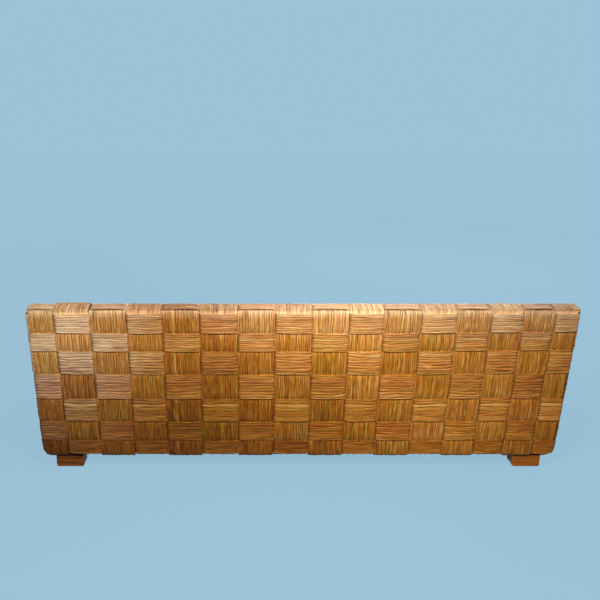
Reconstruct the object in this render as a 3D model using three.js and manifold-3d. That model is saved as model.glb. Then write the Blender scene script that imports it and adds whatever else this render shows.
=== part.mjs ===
// Rattan garden sofa: a box frame of rails, stiles and plywood, wrapped in a wide basket weave of
// flat rattan bands, on four wooden feet, with a slatted seat and three loose cushions.
// Millimetres, +Z up, the front to -Y, left and right as seen from the front.
import * as THREE from "three";
import { mergeVertices } from "three/addons/utils/BufferGeometryUtils.js";
import Module from "manifold-3d";

const manifold = await Module();
manifold.setup();

// Overall sizes
const OVERALL_WIDTH = 2130;
const SLAB_THICKNESS = 80;
const FLOOR_CLEARANCE = 52;
const BACK_LENGTH = 665;
const BACK_RAKE_DEGREES = 6.5;
const ARM_REACH = 620;
const ARM_HEIGHT = 460;
const SEAT_DECK_HEIGHT = 280;
const APRON_RECESS = 12;

// Basket weave
const BAND_THICKNESS = 4;
const BAND_GAP = 8;
const LAYER_GAP = 0.5;
const BAND_CLEARANCE = 0.4;
const LOWER_CORNER_RADIUS = 45;
const BAND_PITCH = 137;
const END_BAND_PITCH = 104;
const BACK_COLUMN_SHARES = [
  0.0469, 0.0564, 0.0579, 0.0608, 0.0649, 0.067, 0.0626, 0.0662, 0.0674, 0.0674, 0.0691, 0.0677,
  0.0644, 0.0662, 0.0645, 0.0507,
];
const BACK_ROW_SHARES = [0.1182, 0.1362, 0.1591, 0.1681, 0.1534, 0.117, 0.148];
const ARM_ROW_SHARES = [0.159, 0.1945, 0.2265, 0.24, 0.18];
const APRON_ROW_SHARES = [0.5, 0.5];
const HIDDEN_ROW_COUNT = 3;

// Frame inside the weave
const PLY_THICKNESS = 6;
const RAIL_HEIGHT = 60;
const STILE_WIDTH = 60;
const APRON_BOARD_THICKNESS = 36;
const JOINT_GAP = 0.3;
const FUSE_BITE = 0.1;
const CUT_OVERRUN = 60;

// Seat
const SLAT_THICKNESS = 18;
const SLAT_PITCH = 86;
const SLAT_GAP = 18;
const BATTEN_WIDTH = 45;
const BATTEN_SHARES = [0.33, 0.67];
const CLEAT_WIDTH = 30;
const CLEAT_HEIGHT = 45;

// Cushions
const CUSHION_THICKNESS = 130;
const CUSHION_CROWN = 22;
const CUSHION_DRAW_IN = 10;
const CUSHION_SIDE_SWELL = 6;
const CUSHION_GAP = 6;
const CUSHION_COUNT = 3;

// Feet
const FOOT_LENGTH = 114;
const FOOT_WIDTH = 66;
const FOOT_CENTRE_INSET = 111;
const GLIDE_THICKNESS = 3;
const GLIDE_RADIUS = 16;
const GLIDE_STUD_RADIUS = 3;
const GLIDE_STUD_LENGTH = 10;
const BOLT_RADIUS = 3.2;
const BOLT_DEPTH_IN_FOOT = 28;
const BOLT_DEPTH_IN_RAIL = 35;
const HOLE_CLEARANCE = 0.3;

// Steps round the small corners, the large lower corners and the turned pieces
const EDGE_STEPS = 2;
const LOWER_STEPS = 4;
const TURNED_STEPS = 12;
const CUSHION_STEPS = 8;
const CUSHION_SIDE_STEPS = 4;
const MERGE_SHARE = 1e-7;

// Sizes that follow from the ones above
const RAKE = THREE.MathUtils.degToRad(BACK_RAKE_DEGREES);
const BACK_LOWER_EDGE_Z = FLOOR_CLEARANCE + SLAB_THICKNESS * Math.sin(RAKE);
const WEAVE_STEP = BAND_THICKNESS + LAYER_GAP;
const STACK = BAND_CLEARANCE + WEAVE_STEP + BAND_THICKNESS;
const FLAT_STACK = BAND_CLEARANCE + BAND_THICKNESS;
const CORE_RADIUS = PLY_THICKNESS;
const EDGE_RADIUS = STACK + CORE_RADIUS;
const LOWER_CORE_RADIUS = LOWER_CORNER_RADIUS - STACK;
const BAND_EDGE_INSET = EDGE_RADIUS + BAND_CLEARANCE;
const INNER_WIDTH = OVERALL_WIDTH - 2 * SLAB_THICKNESS;
const FUSE_REACH = BAND_CLEARANCE + FUSE_BITE;
const RAIL_FRONT = EDGE_RADIUS + JOINT_GAP;
const RAIL_REAR = SLAB_THICKNESS - RAIL_FRONT;
const EDGE_BAND_END = FOOT_CENTRE_INSET + FOOT_LENGTH / 2;
const MERGE_TOLERANCE = OVERALL_WIDTH * MERGE_SHARE;

const X_AXIS = new THREE.Vector3(1, 0, 0);
const Y_AXIS = new THREE.Vector3(0, 1, 0);
const Z_AXIS = new THREE.Vector3(0, 0, 1);
const SECTION_BASIS = new THREE.Matrix4().makeBasis(Y_AXIS, Z_AXIS, X_AXIS);
const FACE_BASIS = new THREE.Matrix4().makeBasis(X_AXIS, Z_AXIS, Y_AXIS.clone().negate());

const RATTAN = new THREE.MeshStandardMaterial({ color: 0xb98446, roughness: 0.5, metalness: 0 });
const FRAME_WOOD = new THREE.MeshStandardMaterial({ color: 0xc9a678, roughness: 0.7, metalness: 0 });
const PLYWOOD = new THREE.MeshStandardMaterial({ color: 0xd2b588, roughness: 0.75, metalness: 0 });
const FOOT_WOOD = new THREE.MeshStandardMaterial({ color: 0x8a4e22, roughness: 0.5, metalness: 0 });
const ZINC_STEEL = new THREE.MeshStandardMaterial({ color: 0xb4b6ba, roughness: 0.35, metalness: 1 });
const NYLON = new THREE.MeshStandardMaterial({ color: 0x2b2a28, roughness: 0.6, metalness: 0 });
const CANVAS = new THREE.MeshStandardMaterial({ color: 0xe6dcc6, roughness: 0.9, metalness: 0 });

// Joining and cutting

function toSolid(geometry) {
  const bare = geometry.index ? geometry.toNonIndexed() : geometry.clone();
  bare.deleteAttribute("normal");
  bare.deleteAttribute("uv");
  const merged = mergeVertices(bare, MERGE_TOLERANCE);
  return new manifold.Manifold(
    new manifold.Mesh({
      numProp: 3,
      vertProperties: merged.attributes.position.array,
      triVerts: new Uint32Array(merged.index.array),
    }),
  );
}

function toGeometry(solid) {
  const mesh = solid.getMesh();
  const geometry = new THREE.BufferGeometry();
  geometry.setAttribute("position", new THREE.BufferAttribute(new Float32Array(mesh.vertProperties), 3));
  geometry.setIndex(new THREE.BufferAttribute(new Uint32Array(mesh.triVerts), 1));
  geometry.computeVertexNormals();
  return geometry;
}

function joinAndCut(pieces, tools = []) {
  const joined = pieces.map(toSolid).reduce((whole, piece) => whole.add(piece));
  return toGeometry(tools.map(toSolid).reduce((whole, tool) => whole.subtract(tool), joined));
}

// Plain solids

function boxBetween(low, high) {
  const size = new THREE.Vector3().subVectors(high, low);
  const centre = new THREE.Vector3().addVectors(low, high).multiplyScalar(0.5);
  return new THREE.BoxGeometry(size.x, size.y, size.z).translate(centre.x, centre.y, centre.z);
}

// A face outline in x and z, given depth from y0 to y1.
function faceSolid(points, y0, y1) {
  const shape = new THREE.Shape(points);
  return new THREE.ExtrudeGeometry(shape, { depth: y1 - y0, bevelEnabled: false })
    .applyMatrix4(FACE_BASIS)
    .translate(0, y1, 0);
}

// A section outline in y and z, given length from x0 to x1.
function sectionSolid(points, x0, x1) {
  const shape = new THREE.Shape(points);
  return new THREE.ExtrudeGeometry(shape, { depth: x1 - x0, bevelEnabled: false })
    .applyMatrix4(SECTION_BASIS)
    .translate(x0, 0, 0);
}

const point = (u, v) => new THREE.Vector2(u, v);

// A quarter turn of an outline, starting at the given angle and turning left.
function quarterArc(centreU, centreV, radius, startDegrees, steps) {
  return Array.from({ length: steps + 1 }, (_, step) => {
    const angle = THREE.MathUtils.degToRad(startDegrees + (90 * step) / steps);
    return point(centreU + radius * Math.cos(angle), centreV + radius * Math.sin(angle));
  });
}

const mirrored = (points) => points.map(({ x, y }) => point(-x, y)).reverse();

// A turned piece along z; its half profile goes from the axis at the bottom to the axis at the top.
function turned(profile) {
  return new THREE.LatheGeometry(profile, TURNED_STEPS).rotateX(Math.PI / 2);
}

function uprightCylinder(radius, low, high) {
  return turned([point(0, low), point(radius, low), point(radius, high), point(0, high)]);
}

// Bands of the weave
// A band follows the sides of a core rectangle in a plane u-v. The sides are numbered to the left:
// 0 is the +u side, 1 the +v side, 2 the -u side and 3 the -v side, and corner k ends side k.
// On each side the band passes over or under the bands it crosses, one cell after another.

const SIDE_DIRECTIONS = [point(0, 1), point(-1, 0), point(0, -1), point(1, 0)];
const SIDE_NORMALS = [point(1, 0), point(0, 1), point(-1, 0), point(0, -1)];

function coreRectangle(u0, u1, v0, v1, lowerRound = false) {
  const small = { radius: CORE_RADIUS, steps: EDGE_STEPS };
  const large = lowerRound ? { radius: LOWER_CORE_RADIUS, steps: LOWER_STEPS } : small;
  return {
    places: [point(u1, v1), point(u0, v1), point(u0, v0), point(u1, v0)],
    lengths: [v1 - v0, u1 - u0, v1 - v0, u1 - u0],
    turns: [small, small, large, large],
  };
}

// The cells of one side, with the travel at which each ends; cuts are measured from the side's start.
function cellsForward(cuts, over, length) {
  return [...cuts, length].map((end, index) => ({ end, over: over(index) }));
}

// The same cells met in the opposite order.
function cellsBackward(cuts, over, length) {
  const turnedCuts = cuts.map((cut) => length - cut).reverse();
  return cellsForward(turnedCuts, (index) => over(cuts.length - index), length);
}

function sideRun(core, side, cells, limits = {}) {
  const from = limits.from ?? core.turns[(side + 3) % 4].radius;
  const to = limits.to ?? core.lengths[side] - core.turns[side].radius;
  return { side, cells, from, to };
}

// One face of the band: depth is 0 on its inner face and its thickness on the outer one.
function bandPath(core, runs, closed, depth) {
  const level = (over) => BAND_CLEARANCE + (over ? WEAVE_STEP : 0) + depth;
  const place = (side, travel, offset) =>
    core.places[(side + 3) % 4]
      .clone()
      .addScaledVector(SIDE_DIRECTIONS[side], travel)
      .addScaledVector(SIDE_NORMALS[side], offset);
  const points = [];
  runs.forEach(({ side, cells, from, to }, index) => {
    points.push(place(side, from, level(cells[0].over)));
    cells.slice(1).forEach((cell, before) => {
      const { end, over } = cells[before];
      if (cell.over === over) return;
      points.push(place(side, end - BAND_GAP / 2, level(over)));
      points.push(place(side, end + BAND_GAP / 2, level(cell.over)));
    });
    const lastLevel = level(cells[cells.length - 1].over);
    points.push(place(side, to, lastLevel));
    const next = runs[index + 1] ?? (closed ? runs[0] : null);
    if (!next) return;
    const { radius, steps } = core.turns[side];
    const centre = place(side, core.lengths[side] - radius, -radius);
    for (let step = 1; step < steps; step += 1) {
      const turn = step / steps;
      const reach = radius + THREE.MathUtils.lerp(lastLevel, level(next.cells[0].over), turn);
      const angle = (turn * Math.PI) / 2;
      points.push(
        centre
          .clone()
          .addScaledVector(SIDE_NORMALS[side], reach * Math.cos(angle))
          .addScaledVector(SIDE_DIRECTIONS[side], reach * Math.sin(angle)),
      );
    }
  });
  return points;
}

function bandSolid(core, runs, closed, width) {
  const outer = bandPath(core, runs, closed, BAND_THICKNESS);
  const inner = bandPath(core, runs, closed, 0);
  const shape = new THREE.Shape(closed ? outer : [...outer, ...inner.reverse()]);
  if (closed) shape.holes.push(new THREE.Path(inner));
  return new THREE.ExtrudeGeometry(shape, { depth: width, bevelEnabled: false });
}

// A woven slab lies in its own frame: x along it, y through it from its -y face at 0, z up from 0.
// Its columns and rows are lists of boundaries, and its core is what the bands are wrapped round.
function wovenSlab({ columns, rows, coreDepth, edges, hiddenRows, parity }) {
  const x0 = columns[0];
  const x1 = columns[columns.length - 1];
  const height = rows[rows.length - 1];
  const coreX0 = x0 + (edges.wrapsStart ? STACK : 0);
  const coreX1 = x1 - (edges.wrapsEnd ? STACK : 0);
  return {
    columns,
    rows,
    hiddenRows,
    parity,
    height,
    columnCount: columns.length - 1,
    rowCount: rows.length - 1,
    core: {
      x0: coreX0,
      x1: coreX1,
      y0: STACK,
      y1: STACK + coreDepth,
      z0: STACK,
      z1: height - STACK,
    },
    firstBandEdge: x0 + (edges.wrapsStart ? BAND_EDGE_INSET : 0),
    lastBandEdge: x1 - (edges.wrapsEnd ? BAND_EDGE_INSET : 0),
  };
}

const isOdd = (number) => Math.abs(number % 2) === 1;

// Where nothing shows, the uprights lie flat under the cross bands.
const uprightOver = (slab, face, i, j) => j >= slab.hiddenRows[face] && isOdd(i + j + slab.parity);
const uprightOverTop = (slab, i) => isOdd(i + slab.rowCount + slab.parity);
const crossOverEnd = (slab, i, j) => !isOdd(i + j + slab.parity);

function uprightBand(slab, i) {
  const { core, rows } = slab;
  const section = coreRectangle(core.y0, core.y1, core.z0, core.z1);
  const rowCuts = rows.slice(1, -1).map((z) => z - core.z0);
  const [height, depth] = section.lengths;
  const rise = cellsForward(rowCuts, (j) => uprightOver(slab, "plusY", i, j), height);
  const fall = cellsBackward(rowCuts, (j) => uprightOver(slab, "minusY", i, j), height);
  const runs = [
    sideRun(section, 0, rise),
    sideRun(section, 1, [{ end: depth, over: uprightOverTop(slab, i) }]),
    sideRun(section, 2, fall),
    sideRun(section, 3, [{ end: depth, over: false }]),
  ];
  const start = i === 0 ? slab.firstBandEdge : slab.columns[i] + BAND_GAP / 2;
  const end = i === slab.columnCount - 1 ? slab.lastBandEdge : slab.columns[i + 1] - BAND_GAP / 2;
  return bandSolid(section, runs, true, end - start).applyMatrix4(SECTION_BASIS).translate(start, 0, 0);
}

const uprightBands = (slab) => Array.from({ length: slab.columnCount }, (_, i) => uprightBand(slab, i));

function placeCrossBand(slab, j, plan, runs, closed) {
  const start = j === 0 ? BAND_EDGE_INSET : slab.rows[j] + BAND_GAP / 2;
  const end = j === slab.rowCount - 1 ? slab.height - BAND_EDGE_INSET : slab.rows[j + 1] - BAND_GAP / 2;
  return bandSolid(plan, runs, closed, end - start).translate(0, 0, start);
}

function columnCells(slab, over, backward) {
  const { core, columns } = slab;
  const cuts = columns.slice(1, -1).map((x) => x - core.x0);
  return (backward ? cellsBackward : cellsForward)(cuts, over, core.x1 - core.x0);
}

// A cross band that goes right round the slab.
function crossRing(slab, j) {
  const { core } = slab;
  const plan = coreRectangle(core.x0, core.x1, core.y0, core.y1);
  const depth = plan.lengths[0];
  const runs = [
    sideRun(plan, 0, [{ end: depth, over: crossOverEnd(slab, slab.columnCount, j) }]),
    sideRun(plan, 1, columnCells(slab, (i) => !uprightOver(slab, "plusY", i, j), true)),
    sideRun(plan, 2, [{ end: depth, over: crossOverEnd(slab, -1, j) }]),
    sideRun(plan, 3, columnCells(slab, (i) => !uprightOver(slab, "minusY", i, j), false)),
  ];
  return placeCrossBand(slab, j, plan, runs, true);
}

// A cross band that comes along one face, passes under the edge band at the front end and goes back.
function crossHairpin(slab, j) {
  const { core } = slab;
  const plan = coreRectangle(core.x0, core.x1, core.y0, core.y1);
  const [depth, length] = plan.lengths;
  const towardsEnd = columnCells(slab, (i) => !uprightOver(slab, "minusY", i, j), false);
  const backAgain = columnCells(slab, (i) => !uprightOver(slab, "plusY", i, j), true);
  const runs = [
    sideRun(plan, 3, towardsEnd, { from: 0 }),
    sideRun(plan, 0, [{ end: depth, over: false }]),
    sideRun(plan, 1, backAgain, { to: length }),
  ];
  return placeCrossBand(slab, j, plan, runs, false);
}

// A cross band on the -y face alone.
function crossStrip(slab, j) {
  const { core } = slab;
  const plan = coreRectangle(core.x0, core.x1, core.y0, core.y1);
  const cells = columnCells(slab, (i) => !uprightOver(slab, "minusY", i, j), false);
  const runs = [sideRun(plan, 3, cells, { from: 0, to: core.x1 - core.x0 })];
  return placeCrossBand(slab, j, plan, runs, false);
}

function placeEdgeBand(slab, face, runs) {
  const { core } = slab;
  const width = core.y1 - core.y0 - 2 * CORE_RADIUS;
  return bandSolid(face, runs, false, width)
    .applyMatrix4(FACE_BASIS)
    .translate(0, core.y0 + CORE_RADIUS + width, 0);
}

const edgeCellsOnTop = (slab) => columnCells(slab, (i) => !uprightOverTop(slab, i), true);

// The band that frames the back, from under one foot, over the top, to under the other.
function edgeBandRound(slab) {
  const { core, rows, columnCount } = slab;
  const face = coreRectangle(core.x0, core.x1, core.z0, core.z1, true);
  const [height, length] = face.lengths;
  const rowCuts = rows.slice(1, -1).map((z) => z - core.z0);
  const tail = EDGE_BAND_END - STACK;
  const flat = [{ end: length, over: true }];
  const runs = [
    sideRun(face, 3, flat, { from: length - tail }),
    sideRun(face, 0, cellsForward(rowCuts, (j) => !crossOverEnd(slab, columnCount, j), height)),
    sideRun(face, 1, edgeCellsOnTop(slab)),
    sideRun(face, 2, cellsBackward(rowCuts, (j) => !crossOverEnd(slab, -1, j), height)),
    sideRun(face, 3, flat, { to: tail }),
  ];
  return placeEdgeBand(slab, face, runs);
}

// The band along an arm, from under the foot, up the front end and back along the top.
function edgeBandOverEnd(slab) {
  const { core } = slab;
  const face = coreRectangle(core.x0, core.x1, core.z0, core.z1, true);
  const [height, length] = face.lengths;
  const tail = EDGE_BAND_END - STACK;
  const runs = [
    sideRun(face, 3, [{ end: length, over: true }], { from: length - tail }),
    sideRun(face, 0, [{ end: height, over: true }]),
    sideRun(face, 1, edgeCellsOnTop(slab), { to: length }),
  ];
  return placeEdgeBand(slab, face, runs);
}

function edgeBandOnTop(slab) {
  const { core } = slab;
  const face = coreRectangle(core.x0, core.x1, core.z0, core.z1);
  const runs = [sideRun(face, 1, edgeCellsOnTop(slab), { from: 0, to: core.x1 - core.x0 })];
  return placeEdgeBand(slab, face, runs);
}

// What lies outside the rounded lower corner of the core at the +x end.
function lowerCornerPoints({ x1, z0 }) {
  const centreX = x1 - LOWER_CORE_RADIUS;
  const centreZ = z0 + LOWER_CORE_RADIUS;
  const low = z0 - CUT_OVERRUN;
  const far = x1 + CUT_OVERRUN;
  const arc = quarterArc(centreX, centreZ, LOWER_CORE_RADIUS, -90, LOWER_STEPS);
  return [point(centreX, low), point(far, low), point(far, centreZ), ...arc.reverse()];
}

function lowerCornerTools(slab, bothEnds) {
  const points = lowerCornerPoints(slab.core);
  const outlines = bothEnds ? [points, mirrored(points)] : [points];
  return outlines.map((outline) => faceSolid(outline, -CUT_OVERRUN, SLAB_THICKNESS + CUT_OVERRUN));
}

// Frame pieces shared by the back and the arms

// An end stile at +x, from low to high, with the core's rounded outer corners.
function endStilePoints({ x1, z0, z1 }, reach = 0) {
  const outer = x1 + reach;
  const inner = x1 - STILE_WIDTH;
  return [
    point(inner, z0),
    ...quarterArc(outer - LOWER_CORE_RADIUS, z0 + LOWER_CORE_RADIUS, LOWER_CORE_RADIUS, -90, LOWER_STEPS),
    ...quarterArc(outer - CORE_RADIUS, z1 - CORE_RADIUS, CORE_RADIUS, 0, EDGE_STEPS),
    point(inner, z1),
  ];
}

// The plywood's rounded lower corner, inset from the core's.
function panelCornerArc({ x1, z0 }) {
  return quarterArc(
    x1 - LOWER_CORE_RADIUS,
    z0 + LOWER_CORE_RADIUS,
    LOWER_CORE_RADIUS - PLY_THICKNESS,
    -90,
    LOWER_STEPS,
  );
}

// The boundaries of cells that take their shares of a length, from 0 up.
function boundariesFrom(shares, length) {
  const sumTo = (count) => shares.slice(0, count).reduce((sum, share) => sum + share, 0);
  const whole = sumTo(shares.length);
  return Array.from({ length: shares.length + 1 }, (_, count) => (sumTo(count) * length) / whole);
}

function addMesh(parent, name, geometry, material) {
  const mesh = new THREE.Mesh(geometry, material);
  mesh.name = name;
  parent.add(mesh);
  return mesh;
}

const sofa = new THREE.Group();

// Back: x along the sofa, y from its front face to its rear face, z up along the raked slab

const BACK_COLUMNS = boundariesFrom(BACK_COLUMN_SHARES, OVERALL_WIDTH).map((x) => x - OVERALL_WIDTH / 2);

// The rear feet are bolted up through the gap beside each end column.
const rearBoltX = (end) => BACK_COLUMNS.at(end < 0 ? 1 : -2);

function makeBack() {
  const slab = wovenSlab({
    columns: BACK_COLUMNS,
    rows: boundariesFrom(BACK_ROW_SHARES, BACK_LENGTH),
    coreDepth: SLAB_THICKNESS - 2 * STACK,
    edges: { wrapsStart: true, wrapsEnd: true },
    hiddenRows: { plusY: 0, minusY: HIDDEN_ROW_COUNT },
    parity: 0,
  });
  const { core } = slab;
  const back = new THREE.Group();
  back.position.set(0, 0, BACK_LOWER_EDGE_Z);
  back.rotation.x = -RAKE;
  sofa.add(back);

  const railEnd = core.x1 - STILE_WIDTH - JOINT_GAP;
  const rail = (z0, z1) =>
    boxBetween(new THREE.Vector3(-railEnd, RAIL_FRONT, z0), new THREE.Vector3(railEnd, RAIL_REAR, z1));
  const corners = lowerCornerTools(slab, true);
  const boltHoles = [-1, 1].map((end) =>
    uprightCylinder(BOLT_RADIUS + HOLE_CLEARANCE, core.z0 - CUT_OVERRUN, core.z0 + BOLT_DEPTH_IN_RAIL)
      .translate(rearBoltX(end), SLAB_THICKNESS / 2, 0),
  );
  const lowerRail = rail(core.z0 - FUSE_REACH, core.z0 + RAIL_HEIGHT);
  const uprights = joinAndCut([lowerRail, ...uprightBands(slab)], [...corners, ...boltHoles]);
  addMesh(back, "back_upright_bands", uprights, RATTAN);
  for (let j = 0; j < slab.rowCount; j += 1) {
    const ring = crossRing(slab, j);
    const geometry = j === 0 ? joinAndCut([ring], corners) : ring;
    addMesh(back, `back_cross_band_${j + 1}`, geometry, RATTAN);
  }
  const edgeBand = joinAndCut([edgeBandRound(slab)], boltHoles);
  addMesh(back, "back_edge_band", edgeBand, RATTAN);

  addMesh(back, "back_top_rail", rail(core.z1 - RAIL_HEIGHT, core.z1), FRAME_WOOD);
  const stile = endStilePoints(core);
  addMesh(back, "back_stile_right", faceSolid(stile, RAIL_FRONT, RAIL_REAR), FRAME_WOOD);
  addMesh(back, "back_stile_left", faceSolid(mirrored(stile), RAIL_FRONT, RAIL_REAR), FRAME_WOOD);
  const post = boxBetween(
    new THREE.Vector3(-STILE_WIDTH / 2, RAIL_FRONT, core.z0 + RAIL_HEIGHT + JOINT_GAP),
    new THREE.Vector3(STILE_WIDTH / 2, RAIL_REAR, core.z1 - RAIL_HEIGHT - JOINT_GAP),
  );
  addMesh(back, "back_center_post", post, FRAME_WOOD);

  const halfPanel = [
    ...panelCornerArc(core),
    point(core.x1 - PLY_THICKNESS, core.z1 - PLY_THICKNESS),
  ];
  const panel = [...halfPanel, ...mirrored(halfPanel)];
  const rearPly = faceSolid(panel, core.y1 - PLY_THICKNESS, core.y1);
  addMesh(back, "back_panel_rear", rearPly, PLYWOOD);
  const frontPly = faceSolid(panel, core.y0, core.y0 + PLY_THICKNESS);
  addMesh(back, "back_panel_front", frontPly, PLYWOOD);

  for (const [side, end] of [["left", -1], ["right", 1]]) {
    const bolt = hangerBolt(core.z0).translate(rearBoltX(end), SLAB_THICKNESS / 2, 0);
    addMesh(back, `foot_bolt_rear_${side}`, bolt, ZINC_STEEL);
  }
}

// A double-ended bolt, half in the foot and half in the rail above it.
function hangerBolt(coreZ) {
  return uprightCylinder(
    BOLT_RADIUS,
    coreZ - STACK - BOLT_DEPTH_IN_FOOT + HOLE_CLEARANCE,
    coreZ + BOLT_DEPTH_IN_RAIL - HOLE_CLEARANCE,
  );
}

// The front face of the raked back, as y at a height above the floor.
const backFaceY = (z) => (z - BACK_LOWER_EDGE_Z) * Math.tan(RAKE);

// Arms: x forward along the arm, y across it towards +X of the sofa, z up from its lower edge

const ARM_JOINT_X = -JOINT_GAP / Math.cos(RAKE);
const armRearX = (z) => -backFaceY(z + FLOOR_CLEARANCE) - ARM_JOINT_X;

function armColumns() {
  const first = ARM_REACH - END_BAND_PITCH;
  const count = Math.round(first / BAND_PITCH);
  const inner = Array.from({ length: count }, (_, i) => first - (count - 1 - i) * BAND_PITCH);
  return [armRearX(ARM_HEIGHT) - CUT_OVERRUN, ...inner, ARM_REACH];
}

function makeArm(side, outward) {
  const outerFace = outward > 0 ? "plusY" : "minusY";
  const columns = armColumns();
  const slab = wovenSlab({
    columns,
    rows: boundariesFrom(ARM_ROW_SHARES, ARM_HEIGHT),
    coreDepth: SLAB_THICKNESS - 2 * STACK,
    edges: { wrapsStart: false, wrapsEnd: true },
    hiddenRows: { plusY: HIDDEN_ROW_COUNT, minusY: HIDDEN_ROW_COUNT, [outerFace]: 0 },
    parity: columns.length,
  });
  const { core } = slab;
  const name = (piece) => `arm_${side}_${piece}`;
  const arm = new THREE.Group();
  const outerX = OVERALL_WIDTH / 2;
  arm.position.set(outward > 0 ? outerX - SLAB_THICKNESS : -outerX, 0, FLOOR_CLEARANCE);
  arm.rotation.z = -Math.PI / 2;
  sofa.add(arm);

  const low = -CUT_OVERRUN;
  const high = ARM_HEIGHT + CUT_OVERRUN;
  const behindJoint = [
    point(columns[0] - 2 * CUT_OVERRUN, low),
    point(armRearX(low), low),
    point(armRearX(high), high),
    point(columns[0] - 2 * CUT_OVERRUN, high),
  ];
  const jointTool = faceSolid(behindJoint, -CUT_OVERRUN, SLAB_THICKNESS + CUT_OVERRUN);
  const corner = lowerCornerTools(slab, false);
  const boltX = ARM_REACH - END_BAND_PITCH;
  const boltHole = uprightCylinder(
    BOLT_RADIUS + HOLE_CLEARANCE,
    core.z0 - CUT_OVERRUN,
    core.z0 + BOLT_DEPTH_IN_RAIL,
  ).translate(boltX, SLAB_THICKNESS / 2, 0);

  const frontOfRails = core.x1 - STILE_WIDTH - JOINT_GAP;
  const rail = (z0, z1) => {
    const rearOfRail = (z) => armRearX(z) + STILE_WIDTH + JOINT_GAP;
    const outline = [
      point(rearOfRail(z0), z0),
      point(frontOfRails, z0),
      point(frontOfRails, z1),
      point(rearOfRail(z1), z1),
    ];
    return faceSolid(outline, RAIL_FRONT, RAIL_REAR);
  };
  const lowerRail = rail(core.z0 - FUSE_REACH, core.z0 + RAIL_HEIGHT);
  const uprights = joinAndCut([lowerRail, ...uprightBands(slab)], [jointTool, ...corner, boltHole]);
  addMesh(arm, name("upright_bands"), uprights, RATTAN);

  const frontStile = faceSolid(endStilePoints(core, FUSE_REACH), RAIL_FRONT, RAIL_REAR);
  const hairpins = Array.from({ length: slab.rowCount }, (_, j) => crossHairpin(slab, j));
  const crossBands = joinAndCut([joinAndCut(hairpins, corner), frontStile], [jointTool]);
  addMesh(arm, name("cross_bands"), crossBands, RATTAN);
  const edgeBand = joinAndCut([edgeBandOverEnd(slab)], [jointTool, boltHole]);
  addMesh(arm, name("edge_band"), edgeBand, RATTAN);

  addMesh(arm, name("top_rail"), rail(core.z1 - RAIL_HEIGHT, core.z1), FRAME_WOOD);
  const rearStile = [
    point(armRearX(core.z0), core.z0),
    point(armRearX(core.z0) + STILE_WIDTH, core.z0),
    point(armRearX(core.z1) + STILE_WIDTH, core.z1),
    point(armRearX(core.z1), core.z1),
  ];
  addMesh(arm, name("rear_stile"), faceSolid(rearStile, RAIL_FRONT, RAIL_REAR), FRAME_WOOD);

  const panelLow = core.z0 + PLY_THICKNESS;
  const panelHigh = core.z1 - PLY_THICKNESS;
  const panel = [
    point(armRearX(panelLow), panelLow),
    ...panelCornerArc(core),
    point(core.x1 - PLY_THICKNESS, panelHigh),
    point(armRearX(panelHigh), panelHigh),
  ];
  const plusPly = faceSolid(panel, core.y1 - PLY_THICKNESS, core.y1);
  const minusPly = faceSolid(panel, core.y0, core.y0 + PLY_THICKNESS);
  addMesh(arm, name("panel_outer"), outward > 0 ? plusPly : minusPly, PLYWOOD);
  addMesh(arm, name("panel_inner"), outward > 0 ? minusPly : plusPly, PLYWOOD);

  const bolt = hangerBolt(core.z0).translate(boltX, SLAB_THICKNESS / 2, 0);
  addMesh(arm, `foot_bolt_front_${side}`, bolt, ZINC_STEEL);
}

// Front apron: x along the sofa, y from its front face backwards, z up from its lower edge

const APRON_FRONT_Y = APRON_RECESS - ARM_REACH;
const APRON_REAR_Y = APRON_FRONT_Y + STACK + APRON_BOARD_THICKNESS + FLAT_STACK;

function makeApron() {
  const halfWidth = INNER_WIDTH / 2 - JOINT_GAP;
  const count = Math.round(INNER_WIDTH / BAND_PITCH);
  const columns = Array.from(
    { length: count + 1 },
    (_, i) => THREE.MathUtils.lerp(-halfWidth, halfWidth, i / count),
  );
  const slab = wovenSlab({
    columns,
    rows: boundariesFrom(APRON_ROW_SHARES, SEAT_DECK_HEIGHT - FLOOR_CLEARANCE),
    coreDepth: APRON_BOARD_THICKNESS,
    edges: { wrapsStart: false, wrapsEnd: false },
    hiddenRows: { plusY: APRON_ROW_SHARES.length, minusY: 0 },
    parity: 0,
  });
  const { core } = slab;
  const apron = new THREE.Group();
  apron.position.set(0, APRON_FRONT_Y, FLOOR_CLEARANCE);
  sofa.add(apron);

  const lower = core.z0 - FUSE_REACH;
  const boardPoints = [
    ...quarterArc(core.y1 - CORE_RADIUS, lower + CORE_RADIUS, CORE_RADIUS, -90, EDGE_STEPS),
    ...quarterArc(core.y1 - CORE_RADIUS, core.z1 - CORE_RADIUS, CORE_RADIUS, 0, EDGE_STEPS),
    ...quarterArc(core.y0 + CORE_RADIUS, core.z1 - CORE_RADIUS, CORE_RADIUS, 90, EDGE_STEPS),
    ...quarterArc(core.y0 + CORE_RADIUS, lower + CORE_RADIUS, CORE_RADIUS, 180, EDGE_STEPS),
  ];
  const board = sectionSolid(boardPoints, core.x0, core.x1);
  addMesh(apron, "front_upright_bands", joinAndCut([board, ...uprightBands(slab)]), RATTAN);
  addMesh(apron, "front_cross_band_lower", crossStrip(slab, 0), RATTAN);
  addMesh(apron, "front_cross_band_upper", crossStrip(slab, 1), RATTAN);
  addMesh(apron, "front_edge_band", edgeBandOnTop(slab), RATTAN);
}

// Seat: a deck of slats on cleats fixed to the apron, the back and the arms

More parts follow.
